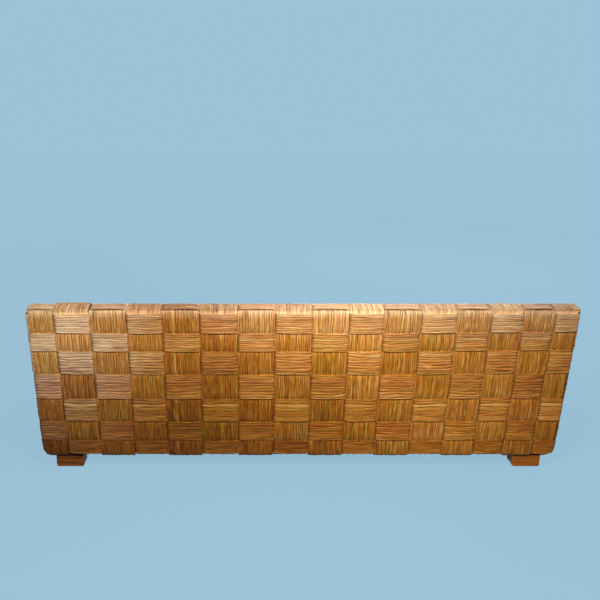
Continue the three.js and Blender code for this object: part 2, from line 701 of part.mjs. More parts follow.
function makeSeat() {
  const slatLow = SEAT_DECK_HEIGHT - SLAT_THICKNESS;
  const cleatHigh = slatLow - JOINT_GAP;
  const cleatLow = cleatHigh - CLEAT_HEIGHT;
  const deckHalf = INNER_WIDTH / 2 - JOINT_GAP;
  const deckFront = APRON_REAR_Y + JOINT_GAP;
  const deckRear = backFaceY(slatLow) - JOINT_GAP;

  const count = Math.round((2 * deckHalf) / SLAT_PITCH);
  const slatWidth = (2 * deckHalf + SLAT_GAP) / count - SLAT_GAP;
  const slats = Array.from({ length: count }, (_, i) => {
    const x = -deckHalf + i * (slatWidth + SLAT_GAP);
    return boxBetween(
      new THREE.Vector3(x, deckFront, slatLow),
      new THREE.Vector3(x + slatWidth, deckRear, SEAT_DECK_HEIGHT),
    );
  });
  const battenHalf = deckHalf - CLEAT_WIDTH - JOINT_GAP;
  const battens = BATTEN_SHARES.map((share) => {
    const y = THREE.MathUtils.lerp(deckFront, deckRear, share);
    return boxBetween(
      new THREE.Vector3(-battenHalf, y - BATTEN_WIDTH / 2, slatLow - SLAT_THICKNESS),
      new THREE.Vector3(battenHalf, y + BATTEN_WIDTH / 2, slatLow + FUSE_BITE),
    );
  });
  addMesh(sofa, "seat_slat_deck", joinAndCut([...slats, ...battens]), FRAME_WOOD);

  const frontCleat = boxBetween(
    new THREE.Vector3(-deckHalf, deckFront, cleatLow),
    new THREE.Vector3(deckHalf, deckFront + CLEAT_WIDTH, cleatHigh),
  );
  addMesh(sofa, "seat_front_cleat", frontCleat, FRAME_WOOD);

  const gapBehind = JOINT_GAP / Math.cos(RAKE);
  const railFront = backFaceY(cleatLow) - gapBehind - CLEAT_WIDTH;
  const rearRail = [
    point(railFront, cleatLow),
    point(backFaceY(cleatLow) - gapBehind, cleatLow),
    point(backFaceY(cleatHigh) - gapBehind, cleatHigh),
    point(railFront, cleatHigh),
  ];
  addMesh(sofa, "seat_rear_rail", sectionSolid(rearRail, -deckHalf, deckHalf), FRAME_WOOD);

  const sideRail = boxBetween(
    new THREE.Vector3(deckHalf - CLEAT_WIDTH, deckFront + CLEAT_WIDTH + JOINT_GAP, cleatLow),
    new THREE.Vector3(deckHalf, railFront - JOINT_GAP, cleatHigh),
  );
  addMesh(sofa, "seat_side_rail_right", sideRail, FRAME_WOOD);
  const otherRail = sideRail.clone().translate(CLEAT_WIDTH - 2 * deckHalf, 0, 0);
  addMesh(sofa, "seat_side_rail_left", otherRail, FRAME_WOOD);
}

// Cushions: flat below, crowned on top, sides drawn in between the corners

function cushionGeometry(width, depth) {
  const geometry = new THREE.BoxGeometry(
    width,
    depth,
    CUSHION_THICKNESS,
    CUSHION_STEPS,
    CUSHION_STEPS,
    CUSHION_SIDE_STEPS,
  );
  const places = geometry.attributes.position;
  for (let n = 0; n < places.count; n += 1) {
    const a = (2 * places.getX(n)) / width;
    const b = (2 * places.getY(n)) / depth;
    const c = (2 * places.getZ(n)) / CUSHION_THICKNESS;
    const swell = CUSHION_SIDE_SWELL * (1 - c * c) - CUSHION_DRAW_IN;
    const rise = CUSHION_THICKNESS / 2 + CUSHION_CROWN * (1 - a * a) * (1 - b * b);
    places.setX(n, a * (width / 2 + swell * (1 - b * b)));
    places.setY(n, b * (depth / 2 + swell * (1 - a * a)));
    places.setZ(n, c > 0 ? c * rise : (c * CUSHION_THICKNESS) / 2);
  }
  geometry.computeVertexNormals();
  return geometry;
}

function makeCushions() {
  const width = (INNER_WIDTH - (CUSHION_COUNT + 1) * CUSHION_GAP) / CUSHION_COUNT;
  const rear = backFaceY(SEAT_DECK_HEIGHT) - CUSHION_GAP;
  const depth = rear - APRON_FRONT_Y;
  ["left", "middle", "right"].forEach((place, index) => {
    const cushion = addMesh(sofa, `seat_cushion_${place}`, cushionGeometry(width, depth), CANVAS);
    cushion.position.set(
      (index - (CUSHION_COUNT - 1) / 2) * (width + CUSHION_GAP),
      (APRON_FRONT_Y + rear) / 2,
      SEAT_DECK_HEIGHT + JOINT_GAP + CUSHION_THICKNESS / 2,
    );
  });
}

// Feet: blocks bolted to the underside, each on a nylon glide

function glideGeometry() {
  return turned([
    point(0, 0),
    point(GLIDE_RADIUS, 0),
    point(GLIDE_RADIUS, GLIDE_THICKNESS - JOINT_GAP),
    point(GLIDE_STUD_RADIUS, GLIDE_THICKNESS - JOINT_GAP),
    point(GLIDE_STUD_RADIUS, GLIDE_THICKNESS + GLIDE_STUD_LENGTH),
    point(0, GLIDE_THICKNESS + GLIDE_STUD_LENGTH),
  ]);
}

const glideHole = () =>
  uprightCylinder(
    GLIDE_STUD_RADIUS + HOLE_CLEARANCE,
    GLIDE_THICKNESS - CUT_OVERRUN,
    GLIDE_THICKNESS + GLIDE_STUD_LENGTH + HOLE_CLEARANCE,
  );

function makeRearFoot(side, end) {
  const centreX = end * (OVERALL_WIDTH / 2 - FOOT_CENTRE_INSET);
  const centreY = (SLAB_THICKNESS / 2) * Math.cos(RAKE);
  const underside = (y) => BACK_LOWER_EDGE_Z - y * Math.tan(RAKE) - JOINT_GAP / Math.cos(RAKE);
  const front = centreY - FOOT_WIDTH / 2;
  const rear = centreY + FOOT_WIDTH / 2;
  const profile = [
    point(front, GLIDE_THICKNESS),
    point(rear, GLIDE_THICKNESS),
    point(rear, underside(rear)),
    point(front, underside(front)),
  ];
  const block = sectionSolid(profile, centreX - FOOT_LENGTH / 2, centreX + FOOT_LENGTH / 2);
  const boltHole = uprightCylinder(BOLT_RADIUS + HOLE_CLEARANCE, -BOLT_DEPTH_IN_FOOT, CUT_OVERRUN)
    .translate(0, SLAB_THICKNESS / 2, 0)
    .rotateX(-RAKE)
    .translate(rearBoltX(end), 0, BACK_LOWER_EDGE_Z);
  const foot = joinAndCut([block], [boltHole, glideHole().translate(centreX, centreY, 0)]);
  addMesh(sofa, `foot_rear_${side}`, foot, FOOT_WOOD);
  const glide = addMesh(sofa, `foot_glide_rear_${side}`, glideGeometry(), NYLON);
  glide.position.set(centreX, centreY, 0);
}

function makeFrontFoot(side, end) {
  const centreX = end * (OVERALL_WIDTH / 2 - SLAB_THICKNESS / 2);
  const centreY = FOOT_CENTRE_INSET - ARM_REACH;
  const block = boxBetween(
    new THREE.Vector3(centreX - FOOT_WIDTH / 2, centreY - FOOT_LENGTH / 2, GLIDE_THICKNESS),
    new THREE.Vector3(centreX + FOOT_WIDTH / 2, centreY + FOOT_LENGTH / 2, FLOOR_CLEARANCE - JOINT_GAP),
  );
  const boltHole = uprightCylinder(
    BOLT_RADIUS + HOLE_CLEARANCE,
    FLOOR_CLEARANCE - BOLT_DEPTH_IN_FOOT,
    FLOOR_CLEARANCE + CUT_OVERRUN,
  ).translate(centreX, END_BAND_PITCH - ARM_REACH, 0);
  const foot = joinAndCut([block], [boltHole, glideHole().translate(centreX, centreY, 0)]);
  addMesh(sofa, `foot_front_${side}`, foot, FOOT_WOOD);
  const glide = addMesh(sofa, `foot_glide_front_${side}`, glideGeometry(), NYLON);
  glide.position.set(centreX, centreY, 0);
}

makeBack();
makeApron();
makeSeat();
makeCushions();
for (const [side, end] of [["left", -1], ["right", 1]]) {
  makeArm(side, end);
  makeFrontFoot(side, end);
  makeRearFoot(side, end);
}

// The origin is on the floor, under the middle of the sofa.
const bounds = new THREE.Box3().setFromObject(sofa, true);
const middle = bounds.getCenter(new THREE.Vector3());
sofa.position.set(-middle.x, -middle.y, 0);

export default sofa;
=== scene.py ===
# Rattan garden sofa: flat bands of rattan strands, basket-woven over a box frame, on four wooden
# feet, with a slatted seat and three loose canvas cushions. Metres, +Z up, the front to -Y.
import math

import bmesh
import bpy
import numpy as np
from mathutils import Matrix, Vector, noise
from mathutils.bvhtree import BVHTree


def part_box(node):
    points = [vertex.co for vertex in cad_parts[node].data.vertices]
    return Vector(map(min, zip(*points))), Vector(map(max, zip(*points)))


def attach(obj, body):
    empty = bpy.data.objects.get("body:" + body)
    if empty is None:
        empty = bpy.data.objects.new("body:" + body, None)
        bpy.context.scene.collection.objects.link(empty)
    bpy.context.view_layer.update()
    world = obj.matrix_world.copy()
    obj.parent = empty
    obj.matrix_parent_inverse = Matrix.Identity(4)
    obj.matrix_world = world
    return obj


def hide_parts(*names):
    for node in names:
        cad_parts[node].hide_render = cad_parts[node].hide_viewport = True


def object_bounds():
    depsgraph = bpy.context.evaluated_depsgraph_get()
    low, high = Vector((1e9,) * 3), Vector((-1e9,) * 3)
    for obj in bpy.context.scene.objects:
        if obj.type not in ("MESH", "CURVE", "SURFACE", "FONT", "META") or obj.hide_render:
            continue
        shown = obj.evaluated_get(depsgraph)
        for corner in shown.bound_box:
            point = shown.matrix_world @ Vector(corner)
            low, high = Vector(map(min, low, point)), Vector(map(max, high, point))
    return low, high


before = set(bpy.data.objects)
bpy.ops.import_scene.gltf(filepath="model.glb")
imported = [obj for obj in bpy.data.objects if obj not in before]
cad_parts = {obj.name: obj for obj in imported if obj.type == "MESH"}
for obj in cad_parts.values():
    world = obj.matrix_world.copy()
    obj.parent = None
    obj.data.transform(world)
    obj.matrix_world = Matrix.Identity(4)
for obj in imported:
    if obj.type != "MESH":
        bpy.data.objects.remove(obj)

CAD_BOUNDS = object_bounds()
SEED = 41

# Sizes of the woven slabs, as in the part's source
SLAB_WIDTH = 2.130
SLAB_THICKNESS = 0.080
FLOOR_CLEARANCE = 0.052
BACK_LENGTH = 0.665
BACK_RAKE = math.radians(6.5)
ARM_REACH = 0.620
ARM_HEIGHT = 0.460
SEAT_DECK_HEIGHT = 0.280
APRON_RECESS = 0.012
APRON_BOARD = 0.036
BAND_THICKNESS = 0.004
BAND_GAP = 0.008
WEAVE_STEP = 0.0045
BAND_CLEARANCE = 0.0004
STACK = BAND_CLEARANCE + WEAVE_STEP + BAND_THICKNESS
CORE_RADIUS = 0.006
LOWER_CORNER_RADIUS = 0.045
LOWER_CORE_RADIUS = LOWER_CORNER_RADIUS - STACK
BAND_EDGE_INSET = STACK + CORE_RADIUS + BAND_CLEARANCE
FOOT_CENTRE_INSET = 0.111
FOOT_LENGTH = 0.114
EDGE_BAND_END = FOOT_CENTRE_INSET + FOOT_LENGTH / 2
JOINT_GAP = 0.0003
RAIL_HEIGHT = 0.060
STILE_WIDTH = 0.060
RAIL_INSET = STACK + CORE_RADIUS + JOINT_GAP
BAND_PITCH = 0.137
END_BAND_PITCH = 0.104
CUT_OVERRUN = 0.060
HIDDEN_ROWS = 3
BACK_COLUMN_SHARES = [
    0.0469, 0.0564, 0.0579, 0.0608, 0.0649, 0.067, 0.0626, 0.0662, 0.0674, 0.0674, 0.0691, 0.0677,
    0.0644, 0.0662, 0.0645, 0.0507,
]
BACK_ROW_SHARES = [0.1182, 0.1362, 0.1591, 0.1681, 0.1534, 0.117, 0.148]
ARM_ROW_SHARES = [0.159, 0.1945, 0.2265, 0.24, 0.18]
APRON_ROW_SHARES = [0.5, 0.5]
HALF_WIDTH = SLAB_WIDTH / 2
ORIGIN_SHIFT = CAD_BOUNDS[0].y + ARM_REACH
BACK_LOWER_EDGE = FLOOR_CLEARANCE + SLAB_THICKNESS * math.sin(BACK_RAKE)
# The sofa's left end is at -X, as for someone who stands before it.
ENDS = (("left", -1), ("right", 1))

# How a band floats over the bands it crosses and dives under them
DIVE_FOOT = 0.0025
DIVE_LENGTH = 0.0140
DIVE_STATIONS = (-0.006, -0.0025, 0.0005, 0.004, 0.0075, 0.0115)
FLOAT_STATION_STEP = 0.019
LEAST_STATION_STEP = 0.0008
REST_SPREAD = 0.0025
FLOAT_SPREAD = 0.0009
SMALL_CORNER_STEPS = 6
LARGE_CORNER_STEPS = 9
CORNER_FULLNESS = 0.5
CORNER_REACH = 0.004
MERGE_DISTANCE = 2e-6
CUT_TOLERANCE = 1e-6
TINY = 1e-9

# Camera and colour of the set
CAMERA_PLACE = (0.2225, 3.007, 1.526)
CAMERA_PITCH = math.radians(16.41)
CAMERA_LENS = 43.2
CAMERA_SENSOR = 36.0
CAMERA_SHIFT_X = 55 / 600
SET_COLOUR = "#9DC3D8"


def linear(hex_colour):
    """An sRGB hex colour as linear RGBA."""
    channels = [int(hex_colour[i : i + 2], 16) / 255 for i in (1, 3, 5)]
    turned = [c / 12.92 if c <= 0.04045 else ((c + 0.055) / 1.055) ** 2.4 for c in channels]
    return (*turned, 1.0)


# Materials


def new_material(name, sockets=None):
    """A material, its node tree and its surface shader, with the shader's sockets set."""
    material = bpy.data.materials.new(name)
    material.use_nodes = True
    tree = material.node_tree
    shader = tree.nodes["Principled BSDF"]
    for key, value in (sockets or {}).items():
        shader.inputs[key].default_value = value
    return material, tree, shader


def set_ramp(ramp, stops):
    """Gives a colour ramp its stops, as (place, hex colour)."""
    while len(ramp.elements) < len(stops):
        ramp.elements.new(0.5)
    for element, (place, colour) in zip(ramp.elements, stops):
        element.position = place
        element.color = linear(colour)


def link_up(tree, node, links):
    """Links a node's sockets, each from an output or from a node's first output."""
    for key, source in links.items():
        if isinstance(source, bpy.types.Node):
            source = source.outputs[0]
        tree.links.new(source, node.inputs[key])


def add_node(tree, kind, settings=None, links=None):
    """Adds a node, sets its properties and sockets by name, and links its sockets from others.
    A colour ramp takes its stops, as (place, hex colour)."""
    node = tree.nodes.new(kind)
    for key, value in (settings or {}).items():
        if key == "stops":
            set_ramp(node.color_ramp, value)
        elif isinstance(key, str) and key not in node.inputs:
            setattr(node, key, value)
        else:
            node.inputs[key].default_value = value
    link_up(tree, node, links or {})
    return node


# What the colour turns to where the sun has bleached the rattan right through, and where a painted
# sheen and highlight pale it
BLEACH_AND_SHEEN_LOOK = {"Hue": 0.515, "Saturation": 0.62, "Value": 1.24}


def lacquered_rattan(name, stops, groove_colour, streak_layers):
    """Split rattan strands under a clear satin lacquer: golden streaks along each strand, dark
    brown in the grooves, partly lacquer pooled there and partly painted shade, a soft shine across
    the strands, painted light and shade from the band's own layers, and paler and greyer where the
    sun has bleached it and where a painted sheen and highlight lie.
    streak_layers gives each layer's width and length, and how far it shifts the tone."""
    material, tree, shader = new_material(name, {"IOR": 1.42, "Specular IOR Level": 0.24})
    place = add_node(tree, "ShaderNodeUVMap", {"uv_map": "weave"})
    tone, hue, shade, bleach, groove = (
        add_node(tree, "ShaderNodeAttribute", {"attribute_name": layer}).outputs["Fac"]
        for layer in ("tone", "hue", "shade", "bleach", "groove")
    )
    streaks = []
    look = {"noise_dimensions": "2D", "Scale": 1.0, "Detail": 2.0, "Roughness": 0.55}
    for width, length, amount in streak_layers:
        scale = {"Scale": (1 / width, 1 / length, 1)}
        drawn_out = add_node(tree, "ShaderNodeMapping", scale, {"Vector": place})
        layer = add_node(tree, "ShaderNodeTexNoise", look, {"Vector": drawn_out})
        streaks.append(layer)
        centre = {"operation": "SUBTRACT", 1: 0.5}
        centred = add_node(tree, "ShaderNodeMath", centre, {0: layer})
        shift = {"operation": "MULTIPLY_ADD", 1: amount}
        tone = add_node(tree, "ShaderNodeMath", shift, {0: centred, 2: tone})
    golden = add_node(tree, "ShaderNodeValToRGB", {"stops": stops}, {"Fac": tone})
    tint = {"Hue": hue, "Value": shade, "Color": golden}
    tinted = add_node(tree, "ShaderNodeHueSaturation", {}, tint)
    fade = {"Fac": bleach, "Color": tinted}
    faded = add_node(tree, "ShaderNodeHueSaturation", BLEACH_AND_SHEEN_LOOK, fade)
    deep = {"data_type": "RGBA", 7: linear(groove_colour)}
    colour = add_node(tree, "ShaderNodeMix", deep, {0: groove, 6: faded})
    satin = {"To Min": 0.36, "To Max": 0.58}
    roughness = add_node(tree, "ShaderNodeMapRange", satin, {"Value": streaks[0]})
    relief = {"Strength": 0.5, "Distance": 0.0004}
    raised = add_node(tree, "ShaderNodeBump", relief, {"Height": streaks[0]})
    surface = {"Base Color": colour.outputs[2], "Roughness": roughness, "Normal": raised}
    link_up(tree, shader, surface)
    return material


UPRIGHT_RATTAN = lacquered_rattan(
    "rattan_upright_lacquered",
    [(0.0, "#502800"), (0.25, "#864C03"), (0.5, "#B7771B"), (0.75, "#D9A14E"), (1.0, "#EDCB94")],
    "#361900",
    ((0.0020, 0.060, 0.36), (0.0046, 0.050, 0.50), (0.016, 0.034, 0.22)),
)
CROSS_RATTAN = lacquered_rattan(
    "rattan_cross_lacquered",
    [(0.0, "#603300"), (0.25, "#98590A"), (0.5, "#C48330"), (0.75, "#DDA966"), (1.0, "#EFD2A8")],
    "#3E1D00",
    ((0.0020, 0.080, 0.34), (0.0046, 0.070, 0.42), (0.016, 0.050, 0.22)),
)


def planed_wood(name, stops, ring_width, grain_length, roughness, axis, shine=0.5):
    """Planed wood: growth rings drawn out along the grain, fine pores, a dry or a satin face,
    darker where the piece's attribute "soiling" paints shade on it."""
    sockets = {"Roughness": roughness, "Specular IOR Level": shine}
    material, tree, shader = new_material(name, sockets)
    place = add_node(tree, "ShaderNodeTexCoord").outputs["Object"]
    scale = [1 / ring_width] * 3
    scale[axis] = 1 / grain_length
    drawn_out = add_node(tree, "ShaderNodeMapping", {"Scale": scale}, {"Vector": place})
    look = {"Scale": 1.0, "Detail": 5.0, "Roughness": 0.65, "Distortion": 0.6}
    rings = add_node(tree, "ShaderNodeTexNoise", look, {"Vector": drawn_out})
    soiling = add_node(tree, "ShaderNodeAttribute", {"attribute_name": "soiling"}).outputs["Fac"]
    tone = add_node(tree, "ShaderNodeMath", {"operation": "SUBTRACT"}, {0: rings, 1: soiling})
    colour = add_node(tree, "ShaderNodeValToRGB", {"stops": stops}, {"Fac": tone})
    relief = {"Strength": 0.35, "Distance": 0.0003}
    raised = add_node(tree, "ShaderNodeBump", relief, {"Height": rings})
    link_up(tree, shader, {"Base Color": colour, "Normal": raised})
    return material


# Unfinished pine: pale yellow, dry, with broad rings
PINE = [(0.25, "#B98F58"), (0.45, "#CFA873"), (0.6, "#DDBB8A"), (0.8, "#E8CDA2")]
PINE_ALONG_X, PINE_ALONG_Y, PINE_ALONG_Z = (
    planed_wood(f"pine_planed_along_{letter}", PINE, 0.011, 0.25, 0.62, axis)
    for axis, letter in enumerate("xyz")
)
# Sanded birch plywood: paler and drier than the pine, with a faint wide figure
BIRCH = [(0.3, "#CDB284"), (0.55, "#DCC499"), (0.8, "#E8D6B2")]
PLY = planed_wood("birch_plywood_sanded", BIRCH, 0.02, 0.3, 0.68, 0)
# Stained hardwood: reddish brown with fine rings under a thin, nearly dull finish
FOOT_STAIN = [
    (0.0, "#1E1106"), (0.25, "#60370F"), (0.42, "#8C5014"), (0.58, "#AC661A"), (0.8, "#C68026"),
]
FOOT_WOOD_ALONG_X, FOOT_WOOD_ALONG_Y = (
    planed_wood(f"hardwood_stained_along_{letter}", FOOT_STAIN, 0.006, 0.12, 0.46, axis, 0.15)
    for axis, letter in enumerate("xy")
)


def mottled(name, spot_size, detail, stops, sockets, relief=None):
    """An even finish with a fine mottle of a given spot size, and its relief where it has any."""
    material, tree, shader = new_material(name, sockets)
    place = add_node(tree, "ShaderNodeTexCoord").outputs["Object"]
    look = {"Scale": 1 / spot_size, "Detail": detail}
    spots = add_node(tree, "ShaderNodeTexNoise", look, {"Vector": place})
    colour = add_node(tree, "ShaderNodeValToRGB", {"stops": stops}, {"Fac": spots})
    link_up(tree, shader, {"Base Color": colour})
    if relief:
        raised = add_node(tree, "ShaderNodeBump", relief, {"Height": spots})
        link_up(tree, shader, {"Normal": raised})
    return material


# Black moulded nylon: an even, slightly waxy face with a fine spark-eroded grain
NYLON = mottled(
    "nylon_moulded_black", 0.0006, 2.0, [(0.3, "#232220"), (0.7, "#34322F")],
    {"Roughness": 0.55}, {"Strength": 0.2, "Distance": 0.0001},
)
# Zinc-plated steel: a bright, faintly mottled bluish metal
ZINC_STEEL = mottled(
    "steel_zinc_plated", 0.004, 3.0, [(0.3, "#A9ACB1"), (0.7, "#C9CBCE")],
    {"Metallic": 1.0, "Roughness": 0.34},
)

# The wave texture turns through this many radians in a metre at a scale of 1.
WAVE_TEXTURE_RATE = 20


def woven_canvas(name, stops):
    """Plain woven outdoor canvas: a matt cloth of crossing threads, slubbed along both."""
    # The real threads are 0.5 mm apart; they are drawn 1.4 mm apart so that they show.
    thread_spacing = 0.0014
    slub_width, slub_length = 0.0030, 0.06
    sockets = {"Roughness": 0.92, "Sheen Weight": 0.15, "Sheen Roughness": 0.5}
    material, tree, shader = new_material(name, sockets)
    place = add_node(tree, "ShaderNodeTexCoord").outputs["Object"]
    thread_look = {
        "wave_type": "BANDS", "Scale": 2 * math.pi / (WAVE_TEXTURE_RATE * thread_spacing),
        "Distortion": 0.6, "Detail": 1.0, "Detail Scale": 0.5,
    }
    slub_look = {"Scale": 1.0, "Detail": 3.0, "Roughness": 0.6}
    threads, slubs = [], []
    for axis in (0, 1):
        look = dict(thread_look, bands_direction="XY"[axis])
        wave = add_node(tree, "ShaderNodeTexWave", look, {"Vector": place})
        threads.append(wave.outputs["Fac"])
        scale = [1 / slub_length] * 3
        scale[axis] = 1 / slub_width
        drawn_out = add_node(tree, "ShaderNodeMapping", {"Scale": scale}, {"Vector": place})
        slubs.append(add_node(tree, "ShaderNodeTexNoise", slub_look, {"Vector": drawn_out}))
    weave = add_node(tree, "ShaderNodeMath", {"operation": "MAXIMUM"}, dict(enumerate(threads)))
    both = add_node(tree, "ShaderNodeMath", {"operation": "ADD"}, dict(enumerate(slubs)))
    blend = {"operation": "MULTIPLY_ADD", 1: 0.3}
    cloth = add_node(tree, "ShaderNodeMath", blend, {0: weave, 2: both})
    colour = add_node(tree, "ShaderNodeValToRGB", {"stops": stops}, {"Fac": cloth})
    relief = {"Strength": 0.5, "Distance": 0.0005}
    raised = add_node(tree, "ShaderNodeBump", relief, {"Height": cloth})
    link_up(tree, shader, {"Base Color": colour, "Normal": raised})
    return material


CANVAS = woven_canvas(
    "canvas_plain_woven", [(0.75, "#CDC0A4"), (0.95, "#DED3BA"), (1.0, "#E6DDC8")]
)
PIPING = woven_canvas("canvas_piping", [(0.75, "#B4A587"), (0.95, "#C9BCA0"), (1.0, "#D6CAB0")])


# Finished pieces


def show(name, data):
    """An object that shows the given mesh, lamp or camera."""
    shown = bpy.data.objects.new(name, data)
    bpy.context.scene.collection.objects.link(shown)
    return shown


def finish_piece(bm, mesh, name, material, matrix, body, nodes):
    """Puts a piece in its place, gives it its material and ties it to its body and CAD nodes."""
    bmesh.ops.transform(bm, matrix=matrix, verts=bm.verts)
    bm.to_mesh(mesh)
    bm.free()
    mesh.materials.append(material)
    piece = show(name, mesh)
    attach(piece, body)
    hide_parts(*nodes)
    return piece


def smooth_skin(bm):
    """Turns a closed skin's faces outwards and shades it as one smooth surface."""
    bmesh.ops.recalc_face_normals(bm, faces=bm.faces)
    for face in bm.faces:
        face.smooth = True


def cut_away(bm, through, outwards):
    """Takes off what lies beyond a plane and closes the cut."""
    parts = [*bm.verts, *bm.edges, *bm.faces]
    found = bmesh.ops.bisect_plane(
        bm, geom=parts, dist=CUT_TOLERANCE, plane_co=through, plane_no=outwards,
        clear_outer=True,
    )
    rim = [e for e in found["geom_cut"] if isinstance(e, bmesh.types.BMEdge) and e.is_boundary]
    bmesh.ops.holes_fill(bm, edges=rim, sides=0)


def block(low, high):
    """A box between two corners."""
    bm = bmesh.new()
    bmesh.ops.create_cube(bm, size=1.0)
    bmesh.ops.scale(bm, vec=high - low, verts=bm.verts)
    bmesh.ops.translate(bm, vec=(low + high) / 2, verts=bm.verts)
    return bm


def round_edges(bm, edges, radius, segments):
    bmesh.ops.bevel(
        bm, geom=edges, offset=radius, offset_type="OFFSET", affect="EDGES", segments=segments,
        profile=0.5, material=-1,
    )


# The way of a band
# A band follows the sides of a core rectangle in a plane u-v, numbered to the left: 0 is the +u
# side, 1 the +v side, 2 the -u side and 3 the -v side, and corner k ends side k. A cell is
# (travel at its end, whether the band lies over there, whether it shows).

SIDE_DIRECTIONS = np.array([(0, 1), (-1, 0), (0, -1), (1, 0)], float)
SIDE_NORMALS = np.array([(1, 0), (0, 1), (-1, 0), (0, -1)], float)


def core_rectangle(u0, u1, v0, v1, lower_round=False):
    small = (CORE_RADIUS, SMALL_CORNER_STEPS)
    large = (LOWER_CORE_RADIUS, LARGE_CORNER_STEPS) if lower_round else small
    return {
        "places": np.array([(u1, v1), (u0, v1), (u0, v0), (u1, v0)]),
        "lengths": (v1 - v0, u1 - u0, v1 - v0, u1 - u0),
        "corners": (small, small, large, large),
    }


def side_run(core, side, cells, start=None, stop=None):
    """One straight side of a band's way, from the corner before it to the corner after it."""
    first = core["corners"][side - 1][0] if start is None else start
    last = core["lengths"][side] - core["corners"][side][0] if stop is None else stop
    return side, cells, first, last


def smooth_share(value):
    """0 below 0, 1 above 1, and a smooth way up between them."""
    held = np.clip(value, 0.0, 1.0)
    return held * held * (3.0 - 2.0 * held)


def side_stations(cells, start, stop):
    """Travels of the rings of points along a side: close together in a dive, wider on a float."""
    found = []
    begin = start
    for index, (end, over, shown) in enumerate(cells):
        finish = min(end, stop)
        dives_before = index > 0 and cells[index - 1][1] != over
        dives_after = index + 1 < len(cells) and cells[index + 1][1] != over
        if over and shown:
            first = begin + (DIVE_STATIONS[-1] if dives_before else 0)
            last = finish - (DIVE_STATIONS[-1] if dives_after else 0)
            count = max(2, round((last - first) / FLOAT_STATION_STEP))
            found += list(np.linspace(first, last, count + 1))
        if dives_after:
            way = -1 if over else 1
            found += [end + way * offset for offset in DIVE_STATIONS]
        begin = finish
    kept = [start]
    for travel in sorted(found):
        if kept[-1] + LEAST_STATION_STEP < travel < stop - LEAST_STATION_STEP:
            kept.append(travel)
    return np.array([*kept, stop])


def rise_along(cells, start, stop, travels):
    """How far the band has risen over what it crosses, its crown, each from 0 to 1, and the
    number of the cell that it is in."""
    ends = np.array([min(cell[0], stop) for cell in cells])
    begins = np.concatenate(([start], ends[:-1]))
    cell = np.searchsorted(ends[:-1], travels, side="right")
    over = np.array([1.0 if c[1] else 0.0 for c in cells])[cell]
    shown = np.array([1.0 if c[2] else 0.0 for c in cells])[cell]
    away = np.full(len(travels), 1.0)
    for before, after in zip(cells, cells[1:]):
        if before[1] != after[1]:
            away = np.minimum(away, np.abs(travels - before[0]))
    signed = np.where(over > 0, away, -away)
    rise = smooth_share((signed + DIVE_FOOT) / DIVE_LENGTH)
    share = (travels - begins[cell]) / np.maximum(ends[cell] - begins[cell], TINY)
    crown = over * shown * np.sin(np.pi * np.clip(share, 0, 1))
    return rise, crown, cell


def corner_rise(before, after, share):
    """The rise part of the way round a corner: a band comes up early in it, or goes down late,
    so that the corner stays full."""
    if after > before:
        turned = smooth_share(share / CORNER_FULLNESS)
    else:
        turned = 1.0 - smooth_share((1.0 - share) / CORNER_FULLNESS)
    return before + (after - before) * float(turned)


def band_line(core, runs, closed):
    """The line that a band follows: the core's surface and its outward direction, the rise and
    the crown, a number for each cell and the travel."""
    plans = []
    for _, cells, start, stop in runs:
        travels = side_stations(cells, start, stop)
        plans.append((travels, *rise_along(cells, start, stop, travels)))
    points = []
    cell_base = 0
    for index, (side, cells, _, _) in enumerate(runs):
        corner_before = core["places"][side - 1]
        direction, normal = SIDE_DIRECTIONS[side], SIDE_NORMALS[side]
        for travel, rise, crown, cell in zip(*plans[index]):
            place = corner_before + direction * travel
            points.append((place, normal, rise, crown, cell + cell_base))
        cell_base += len(cells)
        if index + 1 == len(runs) and not closed:
            break
        before, after = plans[index][1][-1], plans[(index + 1) % len(runs)][1][0]
        radius, steps = core["corners"][side]
        centre = corner_before + direction * (core["lengths"][side] - radius) - normal * radius
        for step in range(1, steps):
            share = step / steps
            angle = share * math.pi / 2
            outward = normal * math.cos(angle) + direction * math.sin(angle)
            cell = cell_base - 1 if share < 0.5 else cell_base
            rise = corner_rise(before, after, share)
            points.append((centre + outward * radius, outward, rise, 0.0, cell))
    if closed:
        points.append(points[0])
    base, out, rise, crown, cell = (np.array(values) for values in zip(*points))
    steps = np.linalg.norm(np.diff(base + out * STACK, axis=0), axis=1)
    return {
        "base": base,
        "out": out,
        "rise": rise,
        "crown": crown,
        "cell": cell % cell_base,
        "travel": np.concatenate(([0.0], np.cumsum(steps))),
        "cells": cell_base,
        "closed": closed,
    }


# The strands of a band

# Across one strand, from its groove over its crest: (share of its width, share of the depth)
FINE_PROFILE = ((0.0, 1.0), (0.2, 0.25), (0.5, 0.0), (0.8, 0.25))
ROUND_PROFILE = ((0.0, 1.0), (0.10, 0.40), (0.26, 0.10), (0.5, 0.0), (0.74, 0.10), (0.90, 0.40))
# Places across the band of the points on its hidden face
INNER_PLACES = (0.985, 0.5, 0.015)
